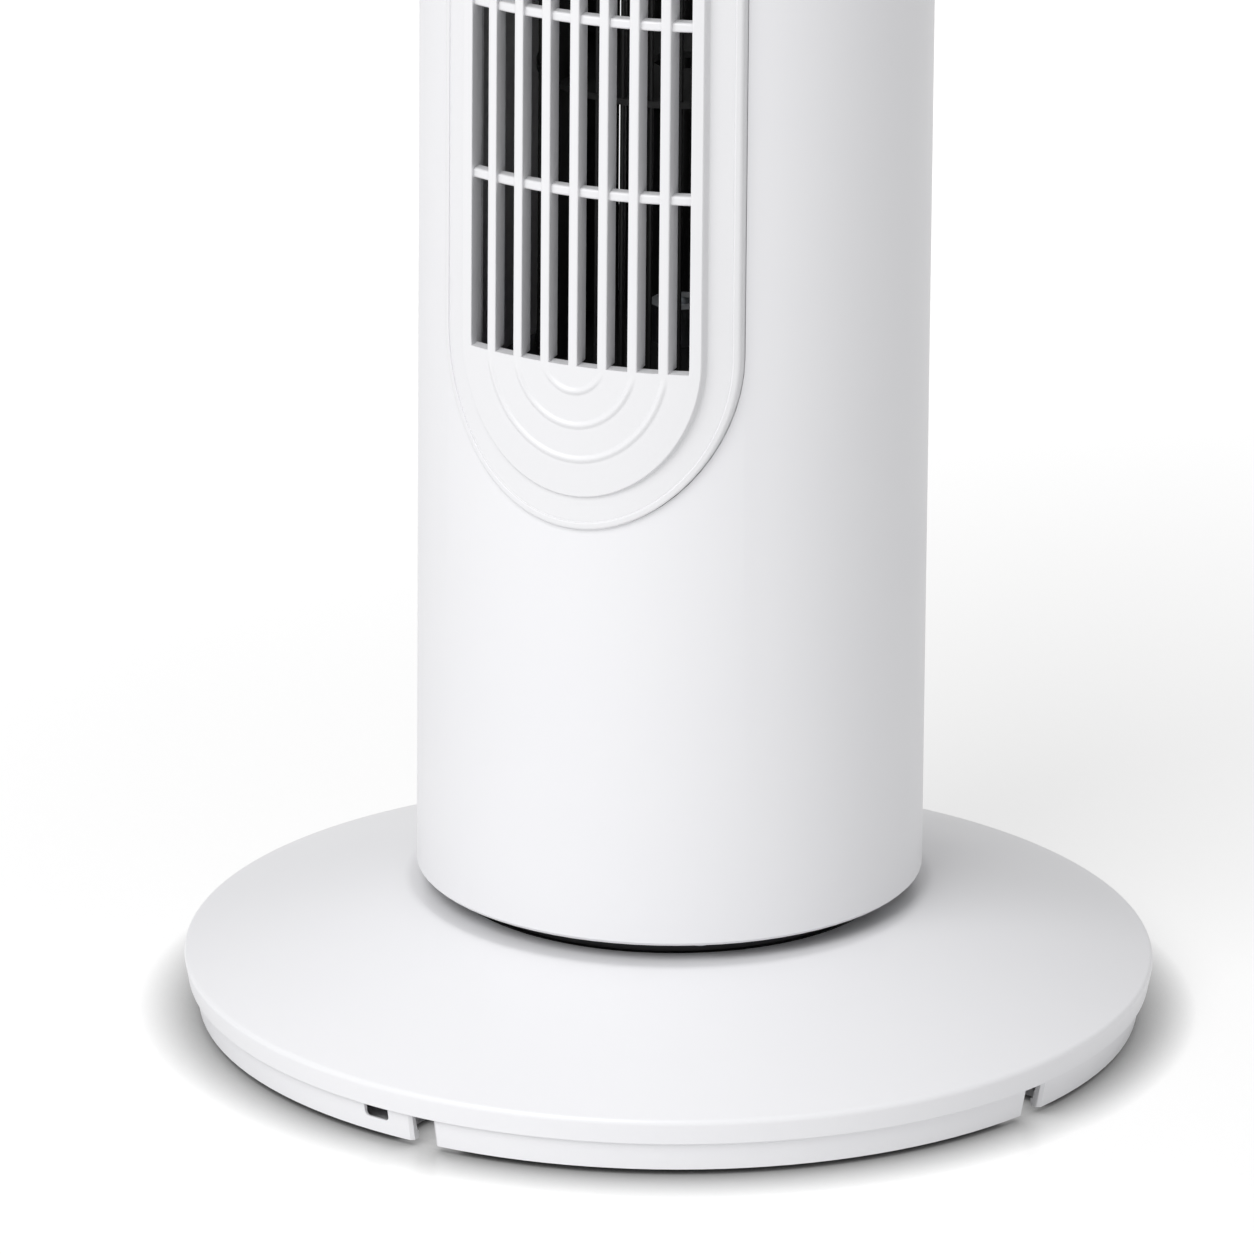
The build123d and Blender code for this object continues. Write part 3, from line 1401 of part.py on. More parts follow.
with BuildPart() as timer_body:
    with BuildSketch(Plane.XY.offset(timer_top - timer_height)):
        with Locations((0, timer_y)):
            Circle(timer_radius)
    extrude(amount=timer_height)
    with BuildSketch(Plane.XY.offset(timer_top)):
        with Locations((0, timer_y)):
            Circle(timer_neck_radius)
    extrude(amount=timer_neck_height)
    with BuildSketch(Plane.XY.offset(panel_bottom)):
        with Locations((0, timer_y)):
            Circle(timer_shaft_radius + run_gap)
    extrude(amount=-timer_shaft_length, mode=Mode.SUBTRACT)
save(timer_body, "timer_body")

with BuildPart() as timer_knob:
    with BuildSketch(Plane.XY.offset(panel_top + knob_gap)):
        with Locations((0, timer_y)):
            Circle(knob_radius)
    with BuildSketch(Plane.XY.offset(panel_top + knob_gap + knob_height - knob_grip_height)):
        with Locations((0, timer_y)):
            Circle(knob_draft_radius)
    loft()
    with BuildSketch(Plane.XY.offset(panel_top + knob_gap)):
        with Locations((0, timer_y)):
            SlotOverall(2 * (knob_draft_radius - soft_edge), knob_grip_width, rotation=90)
    extrude(amount=knob_height)
    fillet(timer_knob.edges().group_by(Axis.Z)[-1], soft_edge)
    with BuildSketch(Plane.XY.offset(panel_bottom - timer_shaft_length + shaft_end_gap)):
        with Locations((0, timer_y)):
            Circle(timer_shaft_radius)
    extrude(amount=panel_thickness + knob_gap + timer_shaft_length)
save(timer_knob, "timer_knob")
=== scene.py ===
"""The tower fan, dressed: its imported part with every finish, and grille, base cover and cap remade finely.

Sizes are in millimetres and turned to metres where a mesh is made. +Z is up and the air outlet faces -Y.
"""

import logging
import math
from dataclasses import dataclass, field
from enum import Enum
from typing import Any

import bpy
import numpy as np
from mathutils import Matrix, Vector


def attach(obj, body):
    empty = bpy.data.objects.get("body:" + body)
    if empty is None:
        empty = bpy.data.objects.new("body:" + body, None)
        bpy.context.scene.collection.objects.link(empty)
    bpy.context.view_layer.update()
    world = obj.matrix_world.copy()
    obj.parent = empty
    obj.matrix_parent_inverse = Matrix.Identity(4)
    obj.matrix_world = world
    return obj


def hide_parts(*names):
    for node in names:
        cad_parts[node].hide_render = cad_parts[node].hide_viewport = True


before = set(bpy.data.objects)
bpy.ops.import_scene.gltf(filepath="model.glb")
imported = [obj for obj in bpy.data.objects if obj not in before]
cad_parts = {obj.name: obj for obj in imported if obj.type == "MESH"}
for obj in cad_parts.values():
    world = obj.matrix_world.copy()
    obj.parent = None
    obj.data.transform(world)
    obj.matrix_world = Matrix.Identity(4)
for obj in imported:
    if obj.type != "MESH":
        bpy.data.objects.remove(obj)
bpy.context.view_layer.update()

LOG = logging.getLogger("tower_fan")
MM = 0.001
WELDS_PER_MM = 100
GUARD_MM = 0.3
GUARD_SHARE = 0.04


# ------------------------------------------------------------------------------------------------
# Colours and nodes
# ------------------------------------------------------------------------------------------------


def linear(hex_colour: str) -> tuple[float, float, float, float]:
    """Turns an sRGB hex colour into the linear one that a shader takes.

    Args:
        hex_colour: Six hex digits after a hash.

    Returns:
        Linear red, green and blue, and an alpha of 1.
    """
    channels = np.array([int(hex_colour[k : k + 2], 16) for k in (1, 3, 5)]) / 255
    low = channels / 12.92
    high = ((channels + 0.055) / 1.055) ** 2.4
    red, green, blue = np.where(channels <= 0.04045, low, high).tolist()
    return (red, green, blue, 1.0)


def add_node(
    tree: bpy.types.NodeTree, kind: str, inputs: dict[Any, Any] | None = None, **settings: Any
) -> bpy.types.Node:
    """Adds one node with its settings, its values and its links.

    Args:
        tree: The tree that the node goes into.
        kind: The node's type name.
        inputs: For each input, by name or number, a value or the output that is linked to it.
        settings: The node's own properties.

    Returns:
        The new node.
    """
    node = tree.nodes.new(kind)
    for key, value in settings.items():
        setattr(node, key, value)
    for key, value in (inputs or {}).items():
        if isinstance(value, bpy.types.NodeSocket):
            tree.links.new(value, node.inputs[key])
        else:
            node.inputs[key].default_value = value
    return node


def per_metre(size_mm: float) -> float:
    """The scale of a pattern whose features are this many millimetres apart."""
    return 1 / (size_mm * MM)


def new_tree(name: str) -> tuple[bpy.types.Material, bpy.types.NodeTree, bpy.types.NodeSocket]:
    """Starts a material.

    Args:
        name: The finish's name.

    Returns:
        The material, its empty tree, and the place of each point on the piece.
    """
    material = bpy.data.materials.new(name)
    material.use_nodes = True
    tree = material.node_tree
    tree.nodes.clear()
    place = add_node(tree, "ShaderNodeTexCoord").outputs["Object"]
    return material, tree, place


def calculate(tree: bpy.types.NodeTree, operation: str, first: Any, second: Any) -> bpy.types.NodeSocket:
    """One step of arithmetic.

    Args:
        tree: The tree that the node goes into.
        operation: The step's name.
        first: A value or an output.
        second: Another.

    Returns:
        The result.
    """
    return add_node(tree, "ShaderNodeMath", {0: first, 1: second}, operation=operation).outputs[0]


def blend(tree: bpy.types.NodeTree, factor: Any, first: str, second: str) -> bpy.types.NodeSocket:
    """Two hex colours mixed by a pattern.

    Args:
        tree: The tree that the node goes into.
        factor: The pattern, 0 for the first colour and 1 for the second.
        first: The first colour.
        second: The second.

    Returns:
        The mixed colour.
    """
    colours = {"Factor": factor, "A": linear(first), "B": linear(second)}
    return add_node(tree, "ShaderNodeMix", colours, data_type="RGBA").outputs["Result"]


def vary(tree: bpy.types.NodeTree, pattern: Any, middle: float, width: float) -> bpy.types.NodeSocket:
    """A value that follows a noise pattern, whose own values lie mostly between 0.3 and 0.7.

    Args:
        tree: The tree that the node goes into.
        pattern: The noise.
        middle: The value's middle.
        width: From its lowest to its highest.

    Returns:
        The value.
    """
    spread = {"From Min": 0.3, "From Max": 0.7, "To Min": middle - width / 2, "To Max": middle + width / 2}
    return add_node(tree, "ShaderNodeMapRange", {"Value": pattern, **spread}).outputs["Result"]


def relief_normal(tree: bpy.types.NodeTree, height: Any, depth_mm: float) -> bpy.types.NodeSocket:
    """The surface's tilt over a pattern of heights.

    Args:
        tree: The tree that the node goes into.
        height: The pattern.
        depth_mm: How deep it is.

    Returns:
        The tilted normal.
    """
    depth = {"Height": height, "Strength": 1.0, "Distance": depth_mm * MM}
    return add_node(tree, "ShaderNodeBump", depth).outputs["Normal"]


def close_tree(
    material: bpy.types.Material, tree: bpy.types.NodeTree, shader: bpy.types.Node
) -> bpy.types.Material:
    """Leads a shader to the material's surface.

    Args:
        material: The material to finish.
        tree: Its tree.
        shader: The node whose first output is the surface.

    Returns:
        The finished material.
    """
    add_node(tree, "ShaderNodeOutputMaterial", {"Surface": shader.outputs[0]})
    return material


# ------------------------------------------------------------------------------------------------
# Finishes
# ------------------------------------------------------------------------------------------------


@dataclass(frozen=True)
class MouldedPlastic:
    """Injection-moulded plastic: an even colour, and a spark-eroded mould's fine grain under a soft gloss.

    Attributes:
        name: The finish's name.
        colour: The resin's colour.
        cloudy: The colour that the resin drifts to where it cooled more slowly.
        roughness: How dull the skin is.
        grain_mm: The distance between the grains, drawn coarser than real ones of 0.1 mm so that they show.
        grain_depth_mm: How deep the grain is.
        ior: The resin's refractive index.
        sheen_drift: How much the roughness varies over the piece.
    """

    name: str
    colour: str
    cloudy: str
    roughness: float
    grain_mm: float = 0.7
    grain_depth_mm: float = 0.006
    ior: float = 1.53
    sheen_drift: float = 0.05

    def material(self) -> bpy.types.Material:
        """Builds the plastic's material."""
        material, tree, place = new_tree(self.name)
        cloud = add_node(
            tree,
            "ShaderNodeTexNoise",
            {"Vector": place, "Scale": per_metre(60), "Detail": 3.0, "Roughness": 0.55},
        )
        grain = add_node(
            tree,
            "ShaderNodeTexNoise",
            {"Vector": place, "Scale": per_metre(self.grain_mm), "Detail": 2.0, "Roughness": 0.6},
        )
        shader = add_node(
            tree,
            "ShaderNodeBsdfPrincipled",
            {
                "Base Color": blend(tree, cloud.outputs["Fac"], self.colour, self.cloudy),
                "Roughness": vary(tree, cloud.outputs["Fac"], self.roughness, self.sheen_drift),
                "Normal": relief_normal(tree, grain.outputs["Fac"], self.grain_depth_mm),
                "IOR": self.ior,
            },
        )
        return close_tree(material, tree, shader)


@dataclass(frozen=True)
class WorkedMetal:
    """Metal with the fine lines of its rolling, turning or pressing, and faint blotches of plating or oil.

    Attributes:
        name: The finish's name.
        colour: The bright metal.
        worn: The duller colour between.
        roughness: How dull the metal is.
        line_mm: The distance between the working lines.
        stretch: How many times longer than wide the lines are, along each axis.
        line_depth_mm: How deep the lines are.
        sheen_drift: How much the roughness varies from line to line.
    """

    name: str
    colour: str
    worn: str
    roughness: float
    line_mm: float = 0.6
    stretch: tuple[float, float, float] = (1.0, 1.0, 12.0)
    line_depth_mm: float = 0.01
    sheen_drift: float = 0.16

    def material(self) -> bpy.types.Material:
        """Builds the metal's material."""
        material, tree, place = new_tree(self.name)
        drawn = add_node(
            tree,
            "ShaderNodeMapping",
            {"Vector": place, "Scale": tuple(1 / s for s in self.stretch)},
        )
        lines = add_node(
            tree,
            "ShaderNodeTexNoise",
            {
                "Vector": drawn.outputs["Vector"],
                "Scale": per_metre(self.line_mm),
                "Detail": 4.0,
                "Roughness": 0.65,
            },
        )
        blotch = add_node(
            tree,
            "ShaderNodeTexNoise",
            {"Vector": place, "Scale": per_metre(7), "Detail": 3.0, "Roughness": 0.6},
        )
        shader = add_node(
            tree,
            "ShaderNodeBsdfPrincipled",
            {
                "Base Color": blend(tree, blotch.outputs["Fac"], self.colour, self.worn),
                "Metallic": 1.0,
                "Roughness": vary(tree, lines.outputs["Fac"], self.roughness, self.sheen_drift),
                "Normal": relief_normal(tree, lines.outputs["Fac"], self.line_depth_mm),
            },
        )
        return close_tree(material, tree, shader)


class Stack(Enum):
    """How the strands or sheets of a banded finish lie."""

    SHEETS = "Z"
    TURNS = "RINGS"


@dataclass(frozen=True)
class BandedFinish:
    """Thin sheets or turns of wire laid side by side, with a dark line between each and the next.

    Attributes:
        name: The finish's name.
        colour: The crown of each band.
        groove: The line between two bands.
        pitch_mm: The distance from one band to the next.
        stack: Which way the bands lie.
        metallic: 1 for bare metal, 0 for varnish or cloth.
        roughness: How dull the bands are.
        depth_mm: How deep the lines between them are.
    """

    name: str
    colour: str
    groove: str
    pitch_mm: float
    stack: Stack
    metallic: float
    roughness: float
    depth_mm: float

    def material(self) -> bpy.types.Material:
        """Builds the banded material."""
        material, tree, place = new_tree(self.name)
        layout = {"wave_type": "BANDS", "bands_direction": "Z"}
        if self.stack is Stack.TURNS:
            layout = {"wave_type": "RINGS", "rings_direction": "Z"}
        # A wave node repeats every 2 pi / 20 units at a scale of 1
        bands = add_node(
            tree,
            "ShaderNodeTexWave",
            {
                "Vector": place,
                "Scale": per_metre(self.pitch_mm) * math.pi / 10,
                "Distortion": 0.4,
                "Detail": 2.0,
            },
            wave_profile="SIN",
            **layout,
        )
        shader = add_node(
            tree,
            "ShaderNodeBsdfPrincipled",
            {
                "Base Color": blend(tree, bands.outputs["Fac"], self.groove, self.colour),
                "Metallic": self.metallic,
                "Roughness": self.roughness,
                "Normal": relief_normal(tree, bands.outputs["Fac"], self.depth_mm),
            },
        )
        return close_tree(material, tree, shader)


@dataclass(frozen=True)
class StudioFloor:
    """A matt white studio floor, which keeps the object's shadow and a faint reflection of it, with painted
    contact shade darkening it close round the object.

    Attributes:
        name: The finish's name.
        colour: The paper's colour.
        seen_share: How much of the paper's own colour is seen, the rest being made up by the glow.
        near_glow: What is added beside the object where the camera, a reflection or clear material sees it.
        far_glow: The same where the softbox no longer reaches, so that the floor reads white there too.
        near_mm: The distance at which the glow starts to rise.
        far_mm: The distance at which it is full.
        painted_shade_mm: How far from the object the floor's seen colour and glow are darkened as painted
            contact shade, where little of the room shows.
        painted_shade_power: How strongly that painted shade darkens them.
        gloss: How much of the object it mirrors.
        roughness: How blurred that is.
    """

    name: str = "studio_floor"
    colour: str = "#F0F0F0"
    seen_share: float = 0.62
    near_glow: float = 0.5
    far_glow: float = 0.7
    near_mm: float = 180.0
    far_mm: float = 900.0
    painted_shade_mm: float = 19.0
    painted_shade_power: float = 1.2
    gloss: float = 0.06
    roughness: float = 0.16

    def material(self) -> bpy.types.Material:
        """Builds the floor's material."""
        material, tree, place = new_tree(self.name)
        away_from_middle = add_node(tree, "ShaderNodeVectorMath", {0: place}, operation="LENGTH")
        glow_level = add_node(
            tree,
            "ShaderNodeMapRange",
            {
                "Value": away_from_middle.outputs["Value"],
                "From Min": self.near_mm * MM,
                "From Max": self.far_mm * MM,
                "To Min": self.near_glow,
                "To Max": self.far_glow,
            },
            interpolation_type="SMOOTHSTEP",
        )
        # Painted contact shade: an ambient occlusion measure darkens the floor's seen colour and its glow
        # close round the object.
        openness = add_node(
            tree,
            "ShaderNodeAmbientOcclusion",
            {"Distance": self.painted_shade_mm * MM},
            samples=16,
        )
        painted_contact_shade = calculate(tree, "POWER", openness.outputs["AO"], self.painted_shade_power)
        path = add_node(tree, "ShaderNodeLightPath").outputs
        seen = calculate(tree, "MAXIMUM", path["Is Camera Ray"], path["Is Glossy Ray"])
        seen = calculate(tree, "MAXIMUM", seen, path["Is Transmission Ray"])
        seen_paper = calculate(tree, "MULTIPLY", painted_contact_shade, self.seen_share)
        shade = add_node(tree, "ShaderNodeMapRange", {"Value": seen, "To Min": 1.0, "To Max": seen_paper})
        glow_with_painted_shade = calculate(tree, "MULTIPLY", glow_level.outputs["Result"], painted_contact_shade)
        strength = calculate(tree, "MULTIPLY", seen, glow_with_painted_shade)
        paper = add_node(
            tree,
            "ShaderNodeVectorMath",
            {0: linear(self.colour)[:3], "Scale": shade.outputs["Result"]},
            operation="SCALE",
        )
        matt = add_node(tree, "ShaderNodeBsdfDiffuse", {"Color": paper.outputs[0]})
        mirror = add_node(
            tree,
            "ShaderNodeBsdfGlossy",
            {"Color": linear("#FFFFFF"), "Roughness": self.roughness},
        )
        glow = add_node(
            tree,
            "ShaderNodeEmission",
            {"Color": linear("#FFFFFF"), "Strength": strength},
        )
        both = add_node(
            tree,
            "ShaderNodeMixShader",
            {0: self.gloss, 1: matt.outputs[0], 2: mirror.outputs[0]},
        )
        shader = add_node(tree, "ShaderNodeAddShader", {0: both.outputs[0], 1: glow.outputs[0]})
        return close_tree(material, tree, shader)


# White ABS, moulded in a finely spark-eroded tool: an even white with a soft broad gloss
HOUSING_ABS = MouldedPlastic("housing_white_abs", "#E9E9EB", "#E7E7EA", 0.38)
# The same ABS from a smoother tool, which gives the base a slightly tighter gloss. Its white is a shade
# lighter than the housing's, painted light that brightens the base's top and rim
BASE_ABS = MouldedPlastic("base_white_abs", "#EFEFF1", "#EDEDF0", 0.33)
# The grille's tool is polished along its slats: crisper highlights on slats and beads. Its white is a shade
# darker than the housing's, painted shade that offsets the softbox's stronger light on the grille's flatter
# face
GRILLE_ABS = MouldedPlastic("grille_white_abs", "#E4E4E6", "#E2E2E4", 0.34, 0.7, 0.003)
BUTTON_ABS = MouldedPlastic("key_grey_abs", "#CDCFD2", "#C8CACE", 0.3)
PANEL_ABS = MouldedPlastic("panel_white_abs", "#E9E9EC", "#E5E5E9", 0.32)
# Talc-filled polypropylene: pale grey and dull, as an inner duct is left unpolished
DUCT_POLYPROPYLENE = MouldedPlastic("duct_grey_polypropylene", "#B4B4B6", "#ABABAE", 0.55, 1.2, 0.02)
# Glass-filled nylon: black, with a dry skin where fibres come near the surface
IMPELLER_NYLON = MouldedPlastic("impeller_black_nylon", "#070708", "#0A0A0B", 0.65, 0.8, 0.02)
BULKHEAD_ABS = MouldedPlastic("bulkhead_dark_abs", "#2E2E30", "#353538", 0.5, 1.0, 0.02)
BLACK_ACETAL = MouldedPlastic("slide_black_acetal", "#1C1C1D", "#232324", 0.38)
NATURAL_ACETAL = MouldedPlastic("gear_natural_acetal", "#E6E2D6", "#DDD9CC", 0.35)
SWITCH_NYLON = MouldedPlastic("switch_beige_nylon", "#D6D0C2", "#CEC7B8", 0.45)
# Nitrile rubber: almost black, very dull, with a bloom of dust in its grain
FOOT_RUBBER = MouldedPlastic("foot_nitrile_rubber", "#1A1A1A", "#2A2A29", 0.82, 1.0, 0.05, 1.5)
# Zinc plating over drawn wire: bright, slightly blue, with blotches where the bath ran off
ZINC_STEEL = WorkedMetal("fastener_zinc_steel", "#C9CDD1", "#A9AEB4", 0.32)
# Deep-drawn sheet: long faint drawing lines down the cup
PRESSED_STEEL = WorkedMetal("motor_pressed_steel", "#A8ABAF", "#8D9196", 0.38)
# A ground shaft: fine rings round it
GROUND_STEEL = WorkedMetal("shaft_ground_steel", "#D0D2D4", "#BABDC0", 0.18, 0.3, (8.0, 8.0, 1.0), 0.003)
# Sintered bronze: open pores that hold oil
SINTERED_BRONZE = WorkedMetal("bush_sintered_bronze", "#B58A4A", "#8A6A3A", 0.5, 0.4, (1, 1, 1), 0.03)
# Half-millimetre electrical sheets, stacked and varnished
CORE_SHEETS = BandedFinish("core_steel_sheets", "#6E7176", "#2B2D30", 0.8, Stack.SHEETS, 1.0, 0.45, 0.05)
# Enamelled magnet wire, wound flat
MAGNET_WIRE = BandedFinish("coil_enamelled_wire", "#B5622E", "#5E2D12", 0.9, Stack.TURNS, 0.6, 0.3, 0.15)
# A braided glass sleeve over the leads
BRAIDED_SLEEVE = BandedFinish("loom_braided_sleeve", "#2A2A2C", "#0E0E0F", 1.4, Stack.SHEETS, 0.0, 0.7, 0.2)

NODE_FINISHES: dict[Any, tuple[str, ...]] = {
    HOUSING_ABS: ("front_shell", "rear_shell", "rear_grille", "handle_cup", "top_cap"),
    BASE_ABS: ("base_cover", "base_tray"),
    GRILLE_ABS: ("front_grille",),
    PANEL_ABS: ("control_panel",),
    BUTTON_ABS: (
        "button_off",
        "button_low",
        "button_medium",
        "button_high",
        "button_swing",
        "timer_knob",
    ),
    DUCT_POLYPROPYLENE: ("air_scroll", "air_tongue"),
    IMPELLER_NYLON: (
        "impeller_section_1",
        "impeller_section_2",
        "impeller_section_3",
        "impeller_section_4",
        "impeller_section_5",
        "impeller_end_disc",
    ),
    BULKHEAD_ABS: ("turntable_plate", "motor_plate", "bearing_plate"),
    BLACK_ACETAL: ("pivot_post", "slide_ring", "loom_clips"),
    NATURAL_ACETAL: ("fixed_gear", "drive_pinion", "thrust_washer"),
    SWITCH_NYLON: ("switch_block", "timer_body", "terminal_block", "run_capacitor"),
    FOOT_RUBBER: ("rubber_feet", "motor_grommets", "bearing_rubber_ring"),
    ZINC_STEEL: (
        "base_screws",
        "post_screws",
        "gear_screws",
        "column_screws",
        "shell_screws",
        "swing_motor_screws",
        "motor_bolts",
        "hub_set_screw",
        "retaining_clip",
    ),
    PRESSED_STEEL: ("motor_housing_lower", "motor_housing_upper", "swing_motor", "impeller_hub"),
    GROUND_STEEL: ("motor_shaft",),
    SINTERED_BRONZE: ("motor_bushes", "top_bearing"),
    CORE_SHEETS: ("stator_core", "motor_rotor"),
    MAGNET_WIRE: ("stator_windings",),
    BRAIDED_SLEEVE: ("wiring_loom",),
}


# ------------------------------------------------------------------------------------------------
# Surfaces
# ------------------------------------------------------------------------------------------------


@dataclass
class Skin:
    """A mesh gathered from grids of points, in millimetres.

    Attributes:
        name: The piece's name.
        sharp_degrees: Edges that turn more than this stay sharp.
        points: The points of each grid so far.
        triangles: The triangles of each grid so far, as numbers of points in the whole skin.
    """

    name: str
    sharp_degrees: float = 40.0
    points: list[np.ndarray] = field(default_factory=list)
    triangles: list[np.ndarray] = field(default_factory=list)

    def add_grid(
        self, grid: np.ndarray, wrap_rows: bool = False, wrap_columns: bool = False, flip: bool = False
    ) -> None:
        """Adds a grid: each cell between two rows and two columns becomes two triangles.

        Args:
            grid: Points as rows x columns x 3.
            wrap_rows: The last row joins the first.
            wrap_columns: The last column joins the first.
            flip: Turns the faces over.
        """
        rows, columns = grid.shape[:2]
        number = np.arange(rows * columns).reshape(rows, columns)
        number = np.vstack([number, number[:1]]) if wrap_rows else number
        number = np.hstack([number, number[:, :1]]) if wrap_columns else number
        a, b = number[:-1, :-1].ravel(), number[1:, :-1].ravel()
        c, d = number[1:, 1:].ravel(), number[:-1, 1:].ravel()
        faces = np.vstack([np.stack([a, b, c], 1), np.stack([a, c, d], 1)])
        start = sum(len(p) for p in self.points)
        self.points.append(grid.reshape(-1, 3))
        self.triangles.append((faces[:, ::-1] if flip else faces) + start)

    def build(self, finish: MouldedPlastic, body: str, slot: str, replaced: tuple[str, ...]) -> None:
        """Welds the grids into one mesh object on its body, in place of the nodes it stands for.

        Points within a hundredth of a millimetre become one, and triangles left with no area are dropped.

        Args:
            finish: What it is made of.
            body: The CAD body that it rides on.
            slot: The record's material slot; not used.
            replaced: The CAD nodes that it stands for.
        """
        points = np.vstack(self.points)
        places = np.round(points * WELDS_PER_MM).astype(np.int64)
        _, first, number = np.unique(places, axis=0, return_index=True, return_inverse=True)
        faces = number.reshape(-1)[np.vstack(self.triangles)]
        faces = faces[(faces != np.roll(faces, 1, axis=1)).all(axis=1)]
        mesh = bpy.data.meshes.new(self.name)
        mesh.from_pydata(points[first] * MM, [], faces)
        mesh.polygons.foreach_set("use_smooth", np.ones(len(faces), bool))
        mesh.set_sharp_from_angle(angle=math.radians(self.sharp_degrees))
        mesh.materials.append(finish_material(finish))
        mesh.validate()
        piece = bpy.data.objects.new(self.name, mesh)
        bpy.context.scene.collection.objects.link(piece)
        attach(piece, body)
        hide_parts(*replaced)
        LOG.info("%s: %d triangles", self.name, len(faces))


def finish_material(finish: Any) -> bpy.types.Material:
    """The finish's material, which is made once.

    Args:
        finish: One of the finishes above.

    Returns:
        Its material.
    """
    return bpy.data.materials.get(finish.name) or finish.material()


def rounded_loop(corners: np.ndarray, radii: np.ndarray, steps: int = 6) -> np.ndarray:
    """A closed outline with each corner turned into an arc.

    Each arc touches both sides of its corner, so its centre lies on the corner's bisector at the radius
    divided by the sine of half the corner's angle. A point close by on each side keeps the shading of the
    flats from bending towards the arc.

    Args:
        corners: The corners in order, n rows.
        radii: The arc's radius at each corner.
        steps: Spans in each arc.

    Returns:
        The outline's points, n x (steps + 3) rows.
    """
    before = np.roll(corners, 1, axis=0) - corners
    after = np.roll(corners, -1, axis=0) - corners
    before_length = np.linalg.norm(before, axis=1, keepdims=True)
    after_length = np.linalg.norm(after, axis=1, keepdims=True)
    before, after = before / before_length, after / after_length
    half = np.arccos(np.clip((before * after).sum(1), -0.999999, 0.999999)) / 2
    reach = np.minimum(radii / np.tan(half), 0.45 * np.minimum(before_length, after_length)[:, 0])
    radius = reach * np.tan(half)
    bisector = before + after
    bisector /= np.linalg.norm(bisector, axis=1, keepdims=True)
    centre = corners + bisector * (radius / np.sin(half))[:, None]
    start, end = corners + before * reach[:, None], corners + after * reach[:, None]
    sweep = np.pi - 2 * half
    share = np.linspace(0, 1, steps + 1)[None, :, None]
    turn = np.maximum(sweep, 1e-6)[:, None, None]
    from_start = np.sin((1 - share) * turn) * (start - centre)[:, None]
    to_end = np.sin(share * turn) * (end - centre)[:, None]
    arc = (from_start + to_end) / np.sin(turn) + centre[:, None]
    guard = np.minimum(GUARD_MM, GUARD_SHARE * np.minimum(before_length, after_length))
    first = (start + before * guard)[:, None]
    last = (end + after * guard)[:, None]
    return np.concatenate([first, arc, last], axis=1).reshape(-1, corners.shape[1])


def smooth_step(value: np.ndarray) -> np.ndarray:
    """Rises from 0 to 1 as the value does, flat at both ends: 3 v squared less 2 v cubed."""
    share = np.clip(value, 0, 1)
    return share * share * (3 - 2 * share)


# ------------------------------------------------------------------------------------------------
# Sub-assemblies
# ------------------------------------------------------------------------------------------------


